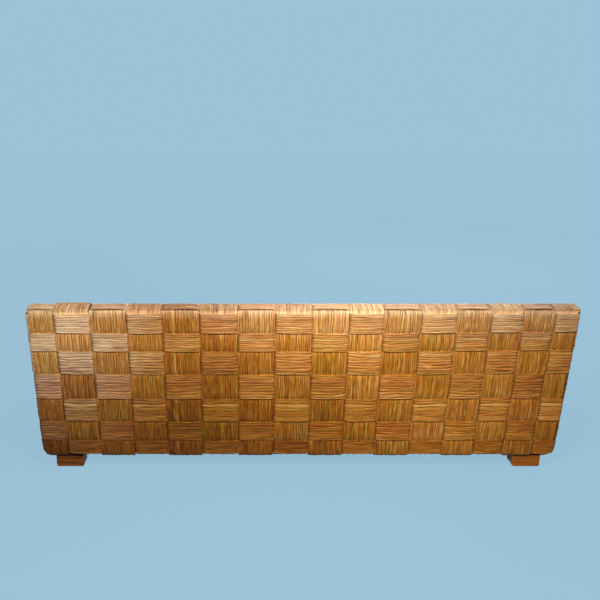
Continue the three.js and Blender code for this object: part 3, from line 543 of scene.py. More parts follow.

# axes says which of the band's u, v and across are the slab's x, y and z. Crowns, grooves and
# crests are in metres. rim_light_and_shade are the tones of the two rim strands, the one at the
# start of the band's width first: a painted highlight on one rim and painted shade on the other.
# recess_shade is painted shade, in the grooves' colour, where a band comes up from under another,
# and where it goes down under one, and bend_light how much paler its strands are painted in the
# same two places, a painted light against the shade there. light_slant is painted light: how much
# paler a float is at the start of its length, and at the start of its width, than in its middle.
# darkens scales the painted light and shade of the ageing fields for each kind of band.
UPRIGHT_STRANDS = dict(
    material=UPRIGHT_RATTAN, axes=(2, 0, 1), profile=FINE_PROFILE, count=19, spread=0.6, sway=0.5,
    groove=(0.0006, 0.0044), groove_drift=0.9, crest=0.0005, crown=0.0012, mean=0.583, tone=0.05,
    rim_light_and_shade=(-0.06, 0.12), hue=(0.4980, 0.0060), light_slant=(0.028, 0.035), recess_shade=(0.0, 0.38),
    bend_light=(1.6, 0.0), darkens=1.15, bleach=0.2,
)
CROSS_STRANDS = dict(
    material=CROSS_RATTAN, axes=(0, 1, 2), profile=ROUND_PROFILE, count=8, spread=0.65, sway=0.5,
    groove=(0.0004, 0.0042), groove_drift=1.2, crest=0.0009, crown=0.0022, mean=0.46, tone=0.05,
    rim_light_and_shade=(0.04, -0.03), hue=(0.4985, 0.0045), light_slant=(0.020, 0.030), recess_shade=(0.72, 0.0),
    bend_light=(0.0, 0.1), darkens=0.88, bleach=1.0,
)
EDGE_STRANDS = dict(
    CROSS_STRANDS, axes=(0, 2, 1), count=7, mean=0.38, groove=(0.0004, 0.0020), sway=0.3,
    light_slant=(0.0, 0.0),
)

# How strands wander along a band: over what length they sway, deepen, rise and change tone
SWAY_WAVELENGTH = 0.22
GROOVE_WAVELENGTH = 0.12
CREST_WAVELENGTH = 0.16
TONE_WAVELENGTH = 0.3
EDGE_WAVELENGTH = 0.17
WANDER_WAVES = 3
WANDER_SIZES = (0.4, 1.0)
WANDER_DIVISOR = 1.5
WANDER_EXTRA_TURNS = 3

RIM_WIDTH_SHARE = 0.6
RIM_GROOVE = 0.0024
GROOVE_LIMITS = (0.0002, 0.0034)
# Above 1, shallow grooves are the commoner ones.
GROOVE_SKEW = 1.3
# The grooves' colour is lacquer pooled there and partly painted shade; the spill carries it onto
# the strands' shoulders.
GROOVE_SPILL = 0.45
GROOVE_DEPTH_SHOWN = 0.0022
BAND_BOW = 0.0006
EDGE_WAVE = 0.0006
CELL_LENGTH = 0.09
CELL_CROWNS = (0.6, 1.35)
CELL_TONE_SPREAD = 0.036
CELL_HUE_SPREAD = 0.003
TONE_DRIFT = 0.05
HUE_WITH_TONE = 0.06
HUE_LIMITS = (0.475, 0.515)
INNER_TONE = 0.3
INNER_HUE = 0.5
# The streaks of each band start somewhere in this many metres.
STREAK_START = 5

# Where an edge band flares at a lower corner, and how early round the top a band lies on top
FLARE_BELOW = 0.075
FLARE_FADE = 0.025
TURN_RATE = 1.4
TURN_START = 0.3

# The darkening from the ageing fields, painted light and shade among it, is shared between the
# tone of the streaks and an even shade over all of them.
TONE_SHARE = 0.5
SHADE_RATE = 3.0


def wander(rng, travel, wavelength, count):
    """Smooth seeded wandering along the travel, one column for each of count lines, which meets
    itself on a closed band."""
    turns = max(1.0, round(travel[-1] / wavelength))
    total = np.zeros((len(travel), count))
    for wave in range(1, WANDER_WAVES + 1):
        phase = rng.uniform(0, 2 * np.pi, count)
        size = rng.uniform(*WANDER_SIZES, count) / wave
        cycles = turns * wave + rng.integers(0, WANDER_EXTRA_TURNS, count)
        total += size * np.sin(2 * np.pi * np.outer(travel / travel[-1], cycles) + phase)
    return total / WANDER_DIVISOR


def strand_layout(rng, kind, travel):
    """Along the band: the boundaries between its strands, from 0 to 1 across it, the depth of
    the groove in each boundary, and how far each strand's crest stands out."""
    widths = rng.uniform(1 - kind["spread"], 1 + kind["spread"], kind["count"])
    widths = np.concatenate(([RIM_WIDTH_SHARE], widths, [RIM_WIDTH_SHARE]))
    bounds = np.concatenate(([0.0], np.cumsum(widths)))
    bounds = bounds / bounds[-1]
    strands = len(widths)
    sway = wander(rng, travel, SWAY_WAVELENGTH, strands + 1)
    sway[:, 0] = sway[:, -1] = 0.0
    lines = bounds[None, :] + sway * kind["sway"] * np.diff(bounds).mean()
    low, high = kind["groove"]
    depth = low + (high - low) * rng.random(strands + 1) ** GROOVE_SKEW
    drift = kind["groove_drift"] * wander(rng, travel, GROOVE_WAVELENGTH, strands + 1)
    depth = np.clip(depth[None, :] * (1 + drift), *GROOVE_LIMITS)
    depth[:, 0] = depth[:, -1] = RIM_GROOVE
    crest = rng.uniform(-1, 1, strands) + wander(rng, travel, CREST_WAVELENGTH, strands)
    return lines, depth, kind["crest"] * crest


def strand_colours(rng, kind, line, strands):
    """Along the band: each strand's tone and hue, and how full the crown of each cell is."""
    travel, cell = line["travel"], line["cell"]
    strand_tone = rng.normal(0, kind["tone"], strands)
    drift = TONE_DRIFT * wander(rng, travel, TONE_WAVELENGTH, strands)
    cell_tone = rng.normal(0, CELL_TONE_SPREAD, line["cells"] + 1)[cell]
    cell_crown = rng.uniform(*CELL_CROWNS, line["cells"] + 1)[cell]
    # The rim strands' tones are a painted highlight on one rim and painted shade on the other.
    strand_tone[[0, -1]] = kind["rim_light_and_shade"]
    # The slant is painted light: each float is painted paler towards one end and one side.
    towards_start = np.gradient(line["crown"], travel) * CELL_LENGTH / math.pi
    along, across = kind["light_slant"]
    light_slant = along * np.clip(towards_start, -1, 1)[:, None] + across * np.linspace(1, -1, strands)
    tones = kind["mean"] + strand_tone + drift + cell_tone[:, None] + light_slant
    hues = rng.normal(*kind["hue"], strands) + HUE_WITH_TONE * drift
    hues = hues + rng.normal(0, CELL_HUE_SPREAD, line["cells"] + 1)[cell][:, None]
    return tones, np.clip(hues, *HUE_LIMITS), cell_crown


def skin_across(kind, lines, depth, crest, tones, hues):
    """The rings of a band's skin, over its strands and back along its hidden face: the place
    across the band, the height, the tone, the groove and the hue of every point."""
    shown = np.clip(depth / GROOVE_DEPTH_SHOWN, 0, 1)
    points = []
    for k in range(crest.shape[1]):
        before = max(k - 1, 0)
        for share, sink in kind["profile"]:
            place = lines[:, k] + (lines[:, k + 1] - lines[:, k]) * share
            if share == 0.0:
                height = np.minimum(crest[:, before], crest[:, k]) - depth[:, k]
                tone = (tones[:, before] + tones[:, k]) / 2
                groove = shown[:, k]
            else:
                edge = k if share < 0.5 else k + 1
                height = crest[:, k] - sink * depth[:, edge]
                tone = tones[:, k]
                groove = GROOVE_SPILL * sink * shown[:, edge]
            points.append((place, height, tone, groove, hues[:, k]))
    full = np.ones(len(lines))
    points.append((full, crest[:, -1] - depth[:, -1], tones[:, -1], full, hues[:, -1]))
    outer = len(points)
    for inner in INNER_PLACES:
        hidden = (inner, -BAND_THICKNESS, INNER_TONE, 1.0, INNER_HUE)
        points.append(tuple(value * full for value in hidden))
    points.append(points[0])
    places, heights, *looks = (np.stack(values, 1) for values in zip(*points))
    bow = 1 - (2 * places - 1) ** 4
    heights[:, :outer] += BAND_BOW * bow[:, :outer]
    return places, heights + BAND_THICKNESS, *looks


def on_top(line):
    """From 0 to 1: where a band has turned onto the slab's top edge."""
    return smooth_share(line["out"][:, 1] * TURN_RATE - TURN_START)


def over_the_top(line):
    """From 0 to 1: where a band lies over what it crosses on top of the slab."""
    return on_top(line) * line["rise"]


def round_the_foot(line):
    """From 0 to 1: where an edge band nears its lower corner, turns it and runs on below."""
    return smooth_share((FLARE_BELOW - line["base"][:, 1]) / FLARE_FADE)


def band_points(rng, kind, line, places, heights, cell_crown, across, loose, settling, lift, flare,
                flared):
    """Where the points of a band's skin are in its slab."""
    rise = line["rise"]
    raised = BAND_CLEARANCE + WEAVE_STEP * rise + kind["crown"] * line["crown"] * cell_crown
    offset = (raised + lift * on_top(line))[:, None] + heights
    spread = REST_SPREAD + FLOAT_SPREAD * rise
    edge_wave = EDGE_WAVE * wander(rng, line["travel"], EDGE_WAVELENGTH, 2)
    wider = flared(line)
    start = across[0] - (spread + edge_wave[:, 0]) * loose[0] - flare[0] * wider
    end = across[1] + (spread + edge_wave[:, 1]) * loose[1] + flare[1] * wider
    w = start[:, None] + places * (end - start)[:, None]
    u = line["base"][:, 0:1] + line["out"][:, 0:1] * offset
    v = line["base"][:, 1:2] + line["out"][:, 1:2] * offset
    points = np.stack([(u, v, w)[axis] for axis in kind["axes"]], -1)
    if settling is not None:
        points = points + settling(points[..., 0], points[..., 2])
    return points


def weave_band(name, line, kind, across, loose, seed, matrix, nodes, planes, light_and_weathering,
               settling=None, lift=0.0, flare=(0.0, 0.0), flared=over_the_top):
    """One band as a closed skin of strands. across is where it starts and ends across its own
    width, loose says which of its two edges may spread over a neighbour, and planes cut it off.
    light_and_weathering gives its ageing and its painted light and shade, and settling its shift,
    at an x and z, lift how far it is raised on top of the slab, and flare how much further out
    each of its edges reaches in the places that flared gives."""
    rng = np.random.default_rng(SEED * 1000 + seed)
    travel, rise = line["travel"], line["rise"]
    lines, depth, crest = strand_layout(rng, kind, travel)
    tones, hues, cell_crown = strand_colours(rng, kind, line, crest.shape[1])
    places, heights, tone, groove, hue = skin_across(kind, lines, depth, crest, tones, hues)
    points = band_points(
        rng, kind, line, places, heights, cell_crown, across, loose, settling, lift, flare, flared
    )
    rows, ring = places.shape
    bm = bmesh.new()
    bm.loops.layers.uv.new("weave")
    bmesh.ops.create_grid(bm, x_segments=ring - 1, y_segments=rows - 1, size=1.0, calc_uvs=True)
    mesh = bpy.data.meshes.new(name)
    bm.to_mesh(mesh)
    mesh.vertices.foreach_set("co", points.reshape(-1))
    darker, sunned_and_sheen, paled_along_top = light_and_weathering(points[..., 0], points[..., 2])
    darker = darker * kind["darkens"]
    # Painted shade: recess_shade darkens the grooves' colour where a band dives. Painted light:
    # bend_light pales the strands there. The shade layer carries the painted light and shade of
    # the ageing fields.
    coming_up = np.gradient(rise) > 0
    recess_shade = np.where(coming_up, *kind["recess_shade"]) * (1 - rise)
    bend_light = 1 + np.where(coming_up, *kind["bend_light"]) * (1 - rise)
    layers = {
        "tone": tone - TONE_SHARE * darker,
        "shade": np.exp(-SHADE_RATE * (1 - TONE_SHARE) * darker) * bend_light[:, None],
        "groove": np.clip(groove + recess_shade[:, None], 0, 1),
        "hue": hue,
        "bleach": np.clip(sunned_and_sheen * kind["bleach"] + paled_along_top, 0, 1),
    }
    for layer, values in layers.items():
        attribute = mesh.attributes.new(layer, "FLOAT", "POINT")
        attribute.data.foreach_set("value", values.reshape(-1).astype(np.float32))
    corner_vertex = np.zeros(len(mesh.loops), np.int32)
    mesh.loops.foreach_get("vertex_index", corner_vertex)
    across_metres = places * (across[1] - across[0]) + rng.uniform(0, STREAK_START)
    along_metres = np.repeat(travel[:, None] + rng.uniform(0, STREAK_START), ring, 1)
    at_points = np.stack((across_metres, along_metres), -1).reshape(-1, 2)
    mesh.uv_layers["weave"].data.foreach_set("uv", at_points[corner_vertex].reshape(-1))
    bm.clear()
    bm.from_mesh(mesh)
    bmesh.ops.remove_doubles(bm, verts=bm.verts, dist=MERGE_DISTANCE)
    if not line["closed"]:
        ends = [edge for edge in bm.edges if edge.is_boundary]
        bmesh.ops.holes_fill(bm, edges=ends, sides=0)
    smooth_skin(bm)
    for through, way in planes:
        cut_away(bm, through, way)
    finish_piece(bm, mesh, name, kind["material"], matrix, "sofa", nodes)


# Woven slabs
# A slab lies in its own frame: x along it, y through it from its -y face at 0, z up from 0.


def boundaries_from(shares, length):
    sums = np.concatenate(([0.0], np.cumsum(shares)))
    return list(sums * length / sums[-1])


def woven_slab(columns, rows, core_depth, wraps_start, wraps_end, hidden, parity):
    """A slab's grid and core. hidden is how many of the lowest rows of its plus and minus faces
    nobody sees, and parity says which of the bands start over."""
    return {
        "columns": columns,
        "rows": rows,
        "hidden": hidden,
        "parity": parity,
        "column_count": len(columns) - 1,
        "row_count": len(rows) - 1,
        "x0": columns[0] + (STACK if wraps_start else 0),
        "x1": columns[-1] - (STACK if wraps_end else 0),
        "y0": STACK,
        "y1": STACK + core_depth,
        "z0": STACK,
        "z1": rows[-1] - STACK,
        "first_edge": columns[0] + (BAND_EDGE_INSET if wraps_start else 0),
        "last_edge": columns[-1] - (BAND_EDGE_INSET if wraps_end else 0),
    }


def upright_over(slab, face, i, j):
    return j >= slab["hidden"][face] and (i + j + slab["parity"]) % 2 == 1


def upright_over_top(slab, i):
    return (i + slab["row_count"] + slab["parity"]) % 2 == 1


def cross_over_end(slab, i, j):
    return (i + j + slab["parity"]) % 2 == 0


def in_sight(index):
    return True


def cells_forward(cuts, over, shown, length):
    return [(end, over(index), shown(index)) for index, end in enumerate([*cuts, length])]


def cells_backward(cuts, over, shown, length):
    turned = [length - cut for cut in reversed(cuts)]
    count = len(cuts)
    return cells_forward(turned, lambda n: over(count - n), lambda n: shown(count - n), length)


def row_cuts(slab):
    return [z - slab["z0"] for z in slab["rows"][1:-1]]


def upright_line(slab, i):
    core = core_rectangle(slab["y0"], slab["y1"], slab["z0"], slab["z1"])
    cuts = row_cuts(slab)
    height, depth = core["lengths"][:2]

    def over(face):
        return lambda j: upright_over(slab, face, i, j)

    def shown(face):
        return lambda j: j >= slab["hidden"][face]

    runs = [
        side_run(core, 0, cells_forward(cuts, over("plus"), shown("plus"), height)),
        side_run(core, 1, [(depth, upright_over_top(slab, i), True)]),
        side_run(core, 2, cells_backward(cuts, over("minus"), shown("minus"), height)),
        side_run(core, 3, [(depth, False, False)]),
    ]
    return band_line(core, runs, True)


def column_cells(slab, over, shown, backward):
    cuts = [x - slab["x0"] for x in slab["columns"][1:-1]]
    ordered = cells_backward if backward else cells_forward
    return ordered(cuts, over, shown, slab["x1"] - slab["x0"])


def cross_cells(slab, face, j, backward):
    seen = j >= slab["hidden"][face]
    return column_cells(
        slab, lambda i: not upright_over(slab, face, i, j), lambda i: seen, backward
    )


def cross_line(slab, j, shape):
    """The way of cross band j: a ring round the slab, a hairpin round its +x end or a strip."""
    core = core_rectangle(slab["x0"], slab["x1"], slab["y0"], slab["y1"])
    depth, length = core["lengths"][:2]
    behind = cross_cells(slab, "plus", j, True)
    before = cross_cells(slab, "minus", j, False)
    if shape == "ring":
        runs = [
            side_run(core, 0, [(depth, cross_over_end(slab, slab["column_count"], j), True)]),
            side_run(core, 1, behind),
            side_run(core, 2, [(depth, cross_over_end(slab, -1, j), True)]),
            side_run(core, 3, before),
        ]
        return band_line(core, runs, True)
    if shape == "hairpin":
        runs = [
            side_run(core, 3, before, start=0),
            side_run(core, 0, [(depth, False, False)]),
            side_run(core, 1, behind, stop=length),
        ]
        return band_line(core, runs, False)
    return band_line(core, [side_run(core, 3, before, start=0, stop=length)], False)


def edge_line(slab, shape):
    """The way of the edge band: over the top, over the top and the +x end, or right round."""
    core = core_rectangle(slab["x0"], slab["x1"], slab["z0"], slab["z1"], shape != "top")
    height, length = core["lengths"][:2]
    top = column_cells(slab, lambda i: not upright_over_top(slab, i), in_sight, True)
    if shape == "top":
        return band_line(core, [side_run(core, 1, top, start=0, stop=length)], False)
    tail = EDGE_BAND_END - STACK
    below = [(length, True, False)]
    if shape == "over_end":
        runs = [
            side_run(core, 3, below, start=length - tail),
            side_run(core, 0, [(height, True, True)]),
            side_run(core, 1, top, stop=length),
        ]
        return band_line(core, runs, False)

    def over(i):
        return lambda j: not cross_over_end(slab, i, j)

    cuts = row_cuts(slab)
    runs = [
        side_run(core, 3, below, start=length - tail),
        side_run(core, 0, cells_forward(cuts, over(slab["column_count"]), in_sight, height)),
        side_run(core, 1, top),
        side_run(core, 2, cells_backward(cuts, over(-1), in_sight, height)),
        side_run(core, 3, below, stop=tail),
    ]
    return band_line(core, runs, False)


def corner_cuts(slab, end):
    """Planes just inside the edge band where it rounds a lower corner, as (point, way)."""
    centre_x = slab["x1"] - LOWER_CORE_RADIUS if end > 0 else slab["x0"] + LOWER_CORE_RADIUS
    centre = Vector((centre_x, 0, slab["z0"] + LOWER_CORE_RADIUS))
    step_angle = math.pi / 2 / LARGE_CORNER_STEPS
    reach = LOWER_CORE_RADIUS * math.cos(step_angle / 2) + WEAVE_STEP
    angles = [step_angle * (step + 0.5) for step in range(LARGE_CORNER_STEPS)]
    ways = [Vector((end * math.sin(angle), 0, -math.cos(angle))) for angle in angles]
    return [(centre + way * reach, way) for way in ways]


# Seeds of the bands: a slab's uprights count on from its own seed, and its cross bands and its
# edge band from these numbers after it
SLAB_SEEDS = {"back": 100, "arm_left": 200, "arm_right": 300, "front": 400}
FIRST_CROSS = 40
EDGE_NUMBER = 60

# The back's fifteenth upright stands proud of its neighbours where it passes over the top.
PROUD_UPRIGHT = 14
PROUD_HEIGHT = 0.0045


def weave_slab(name, slab, matrix, cross_shape, edge_shape, nodes, light_and_weathering, cuts=(), rounds=(),
               settling=None, proud_upright=None):
    """All the bands of a slab. nodes are the CAD nodes of its uprights, of each cross band and of
    its edge band, cuts are planes that end every band, rounds the ends (-1 or +1) with a rounded
    lower corner, and proud_upright is the one upright that stands proud over the top."""
    columns, rows = slab["columns"], slab["rows"]
    last_column, last_row = slab["column_count"] - 1, slab["row_count"] - 1
    upright_node, cross_nodes, edge_node = nodes
    seed = SLAB_SEEDS[name]
    shared = {"light_and_weathering": light_and_weathering, "settling": settling}
    for i in range(last_column + 1):
        first, last = i == 0, i == last_column
        start = slab["first_edge"] if first else columns[i] + BAND_GAP / 2
        end = slab["last_edge"] if last else columns[i + 1] - BAND_GAP / 2
        flare = (
            max(0.0, start - columns[0] - CORNER_REACH) if first else 0.0,
            max(0.0, columns[-1] - end - CORNER_REACH) if last else 0.0,
        )
        planes = []
        for side, is_there in ((-1, first), (1, last)):
            planes += corner_cuts(slab, side) if side in rounds and is_there else []
        planes += cuts if first else []
        weave_band(
            f"{name}_upright_weave_{i + 1:02d}", upright_line(slab, i), UPRIGHT_STRANDS,
            (start, end), (0.0 if first else 1.0, 0.0 if last else 1.0), seed + i, matrix,
            [upright_node], planes, lift=PROUD_HEIGHT if i == proud_upright else 0.0,
            flare=flare, **shared,
        )
    for j in range(last_row + 1):
        first, last = j == 0, j == last_row
        start = BAND_EDGE_INSET if first else rows[j] + BAND_GAP / 2
        end = rows[-1] - BAND_EDGE_INSET if last else rows[j + 1] - BAND_GAP / 2
        corners = [plane for side in rounds for plane in corner_cuts(slab, side)]
        weave_band(
            f"{name}_cross_weave_{j + 1}", cross_line(slab, j, cross_shape), CROSS_STRANDS,
            (start, end), (0.0 if first else 1.0, 0.0 if last else 1.0), seed + FIRST_CROSS + j,
            matrix, [cross_nodes[j]], [*(corners if first else ()), *cuts], **shared,
        )
    weave_band(
        f"{name}_edge_weave", edge_line(slab, edge_shape), EDGE_STRANDS,
        (slab["y0"] + CORE_RADIUS, slab["y1"] - CORE_RADIUS), (0.0, 0.0), seed + EDGE_NUMBER,
        matrix, [edge_node], cuts, flare=(CORE_RADIUS, CORE_RADIUS), flared=round_the_foot,
        **shared,
    )


BACK_COLUMNS = [x - HALF_WIDTH for x in boundaries_from(BACK_COLUMN_SHARES, SLAB_WIDTH)]
BACK_ROWS = boundaries_from(BACK_ROW_SHARES, BACK_LENGTH)
BACK_HIDDEN = {"plus": 0, "minus": HIDDEN_ROWS}
BACK_SLAB = woven_slab(
    BACK_COLUMNS, BACK_ROWS, SLAB_THICKNESS - 2 * STACK, True, True, BACK_HIDDEN, 0
)
BACK_TURN = Matrix.Rotation(-BACK_RAKE, 4, "X")
BACK_MATRIX = Matrix.Translation((0, ORIGIN_SHIFT, BACK_LOWER_EDGE)) @ BACK_TURN


def rising(value, start, length):
    """0 below start, 1 above start + length, and a smooth way up between them."""
    return smooth_share((value - start) / length)


def near(value, place, reach):
    """1 at a place, fading smoothly away on both sides of it over about the reach."""
    return np.exp(-(((value - place) / reach) ** 2))


def by_shares(*pairs):
    """The sum of some fields, each by its share."""
    return sum(share * field for share, field in pairs)


def painted_shadow_line(z):
    """The painted shadow line along the lowest edge of a slab, near the floor."""
    darkest = 0.4
    full_below, fade = 0.003, 0.013
    return darkest * (1 - rising(z, full_below, fade))


def back_light_and_weathering(x, z):
    """How much darker the back is painted, all of it painted light and shade with a painted shadow
    line along its lowest edge, most of all at its lower right corner, how far its cross bands are
    paled, partly bleached by the sun and partly a painted sheen, most of all at its upper right
    corner, and how far every band is paled along its top, partly by wear and partly as a painted
    highlight."""
    low = 1 - rising(z, 0, BACK_LENGTH)
    high = rising(z, 0.0798, 0.532)
    top_row = rising(z, 0.50, 0.1)
    fold = near(z, BACK_LENGTH - 0.016, 0.013)
    top_face = rising(z, BACK_LENGTH - 0.007, 0.005)
    to_the_right = rising(x, -HALF_WIDTH, SLAB_WIDTH)
    left_half = rising(-x, 0, 1)
    in_shade = near(x, 0.45, 0.30)
    in_light = near(x, -0.1 - 0.5 * low, 0.34)
    left_end = near(x, -1.05, 0.22)
    both_ends = rising(np.abs(x), HALF_WIDTH - 0.016, 0.010)
    low_right_corner = rising(x, 0.75, 0.3) * (1 - rising(z, 0, 0.2))
    # Painted light and shade: darker low down and at the lower right, painted shade at the ends,
    # on the top face and in in_shade, painted light in in_light and on the fold.
    darker = by_shares(
        (0.11, low), (0.20, low * to_the_right), (0.10, in_shade), (0.03, in_shade * high),
        (-0.075, in_light), (0.05, high * left_half), (0.04, left_end),
        (0.2, both_ends * (1 - high)), (0.19, low_right_corner), (1.0, painted_shadow_line(z)), (-0.03, fold),
        (0.11, top_face),
    )
    # Paler cross bands, partly bleached by the sun and partly a painted sheen.
    sunned_and_sheen = by_shares(
        (0.1, high), (0.9, high * rising(x, 0.45, 0.42)), (0.3, top_row * left_half),
        (0.25, rising(x, 0.5, 0.5) * rising(z, 0, 0.1)),
    )
    # Paler along the top, partly from wear and partly a painted highlight on the top and its fold.
    paled_along_top = by_shares(
        (0.45, rising(z, BACK_LENGTH - 0.045, 0.045)), (0.12, fold),
        (0.15, top_row * (1 - rising(x, 0.2, 0.4))),
    )
    return darker, sunned_and_sheen, paled_along_top


def back_settling(x, z):
    """How the rows of the back have settled: pulled up a little towards both of its ends."""
    left_pull = 0.0080
    right_pull = 0.0045
    share = z / BACK_LENGTH
    pull = (
        left_pull * rising(-x, 0.25, 0.8) * (0.3 + 0.7 * share)
        + right_pull * rising(x, 0.45, 0.6) * (1 - 0.8 * share)
    )
    shift = np.zeros((*x.shape, 3))
    shift[..., 2] = pull * rising(-z, -BACK_LENGTH, 0.09) * rising(z, 0, 0.05)
    return shift


BACK_CROSS_NODES = [f"back_cross_band_{j + 1}" for j in range(len(BACK_ROW_SHARES))]
weave_slab(
    "back", BACK_SLAB, BACK_MATRIX, "ring", "round",
    ("back_upright_bands", BACK_CROSS_NODES, "back_edge_band"), back_light_and_weathering,
    rounds=(-1, 1), settling=back_settling, proud_upright=PROUD_UPRIGHT,
)


def arm_rear_x(z):
    """Where an arm meets the back, in the arm's own x, at a height above its lower edge."""
    face_y = (z + FLOOR_CLEARANCE - BACK_LOWER_EDGE) * math.tan(BACK_RAKE)
    return -face_y + JOINT_GAP / math.cos(BACK_RAKE)


def arm_slab(outward):
    first = ARM_REACH - END_BAND_PITCH
    count = round(first / BAND_PITCH)
    inner = [first - (count - 1 - i) * BAND_PITCH for i in range(count)]
    columns = [arm_rear_x(ARM_HEIGHT) - CUT_OVERRUN, *inner, ARM_REACH]
    rows = boundaries_from(ARM_ROW_SHARES, ARM_HEIGHT)
    hidden = {"plus": HIDDEN_ROWS, "minus": HIDDEN_ROWS}
    hidden["plus" if outward > 0 else "minus"] = 0
    depth = SLAB_THICKNESS - 2 * STACK
    return woven_slab(columns, rows, depth, False, True, hidden, len(columns))


def arm_matrix(outward):
    x = HALF_WIDTH - SLAB_THICKNESS if outward > 0 else -HALF_WIDTH
    turn = Matrix.Rotation(-math.pi / 2, 4, "Z")
    return Matrix.Translation((x, ORIGIN_SHIFT, FLOOR_CLEARANCE)) @ turn


def side_weathering_and_shade(x, z):
    """Arms and apron: darker towards the floor, with a painted shadow line along the lowest edge,
    a little paler and duller above.
    """
    up = rising(z, 0, ARM_HEIGHT)
    worn_below_top = 0.040
    darker = by_shares((0.10, 1 - up), (1.0, painted_shadow_line(z)))
    paled_along_top = by_shares((0.5, rising(z, ARM_HEIGHT - worn_below_top, worn_below_top)))
    return darker, 0.15 * up, paled_along_top


JOINT_PLANE = (
    Vector((arm_rear_x(0), 0, 0)), Vector((-math.cos(BACK_RAKE), 0, -math.sin(BACK_RAKE))),
)
for side, outward in ENDS:
    arm_nodes = (
        f"arm_{side}_upright_bands", [f"arm_{side}_cross_bands"] * len(ARM_ROW_SHARES),
        f"arm_{side}_edge_band",
    )
    weave_slab(
        f"arm_{side}", arm_slab(outward), arm_matrix(outward), "hairpin", "over_end", arm_nodes,
        side_weathering_and_shade, cuts=(JOINT_PLANE,), rounds=(1,),
    )

APRON_WIDTH = SLAB_WIDTH - 2 * SLAB_THICKNESS
APRON_HALF = APRON_WIDTH / 2 - JOINT_GAP
APRON_COLUMNS = list(np.linspace(-APRON_HALF, APRON_HALF, round(APRON_WIDTH / BAND_PITCH) + 1))
APRON_ROWS = boundaries_from(APRON_ROW_SHARES, SEAT_DECK_HEIGHT - FLOOR_CLEARANCE)
APRON_HIDDEN = {"plus": len(APRON_ROW_SHARES), "minus": 0}
APRON_SLAB = woven_slab(APRON_COLUMNS, APRON_ROWS, APRON_BOARD, False, False, APRON_HIDDEN, 0)
APRON_FRONT = APRON_RECESS - ARM_REACH + ORIGIN_SHIFT
APRON_MATRIX = Matrix.Translation((0, APRON_FRONT, FLOOR_CLEARANCE))
APRON_CROSS_NODES = ("front_cross_band_lower", "front_cross_band_upper")
weave_slab(
    "front", APRON_SLAB, APRON_MATRIX, "strip", "top",
    ("front_upright_bands", APRON_CROSS_NODES, "front_edge_band"), side_weathering_and_shade,
)

# Frame pieces that the weave hides
EASED = 0.0012


def timber(name, low, high, eased, material, matrix, node, shape=None):
    """A sawn length of timber between two corners, its long edges eased. shape moves its points
    before the edges are eased."""
    bm = block(Vector(low), Vector(high))
    if shape is not None:
        shape(bm)
    round_edges(bm, bm.edges[:], eased, segments=2)
    bmesh.ops.recalc_face_normals(bm, faces=bm.faces)
    mesh = bpy.data.meshes.new(name)
    finish_piece(bm, mesh, name, material, matrix, "sofa", [node])


def make_hidden_frame():
    """The lower rails, the front stiles and the apron board, which the bands are fixed to."""
    slab = BACK_SLAB
    rail_end = slab["x1"] - STILE_WIDTH - JOINT_GAP
    rail_rear = SLAB_THICKNESS - RAIL_INSET
    timber(
        "back_lower_rail", (-rail_end, RAIL_INSET, slab["z0"] + JOINT_GAP),
        (rail_end, rail_rear, slab["z0"] + RAIL_HEIGHT), EASED, PINE_ALONG_X, BACK_MATRIX,
        "back_upright_bands",
    )
    for side, outward in ENDS:
        slab = arm_slab(outward)
        front = slab["x1"]
        low, high = slab["z0"] + JOINT_GAP, slab["z0"] + RAIL_HEIGHT
        matrix = arm_matrix(outward)

        def follow_joint(bm):
            for vert in bm.verts:
                if vert.co.x < front / 2:
                    vert.co.x = arm_rear_x(vert.co.z) + STILE_WIDTH + JOINT_GAP

        def round_lower_corner(bm):
            corner = [
                edge for edge in bm.edges
                if all(v.co.x > front - JOINT_GAP and v.co.z < high for v in edge.verts)
            ]
            round_edges(bm, corner, LOWER_CORE_RADIUS, segments=6)

        timber(
            f"arm_{side}_lower_rail", (0, RAIL_INSET, low),
            (front - STILE_WIDTH - JOINT_GAP, rail_rear, high), EASED, PINE_ALONG_Y, matrix,
            f"arm_{side}_upright_bands", follow_joint,
        )
        timber(
            f"arm_{side}_front_stile", (front - STILE_WIDTH, RAIL_INSET, slab["z0"]),
            (front, rail_rear, slab["z1"]), EASED, PINE_ALONG_Z, matrix,
            f"arm_{side}_cross_bands", round_lower_corner,
        )
    slab = APRON_SLAB
    timber(
        "front_apron_board", (slab["x0"], slab["y0"], slab["z0"]),
        (slab["x1"], slab["y1"], slab["z1"]), CORE_RADIUS / 2, PINE_ALONG_X, APRON_MATRIX,
        "front_upright_bands",
    )


make_hidden_frame()

# Feet
LOWER_ROUNDING = 0.009
EDGE_ROUNDING = 0.003
# A rounding's faces are all smaller than this, and shaded smooth.
ROUNDING_AREA = 0.0004
# Painted shade on the feet: darker upwards, under the slab, and on the feet at the sofa's right
# end.
PAINTED_SHADE_UPWARDS = 0.10
PAINTED_SHADE_TO_THE_RIGHT = 0.20


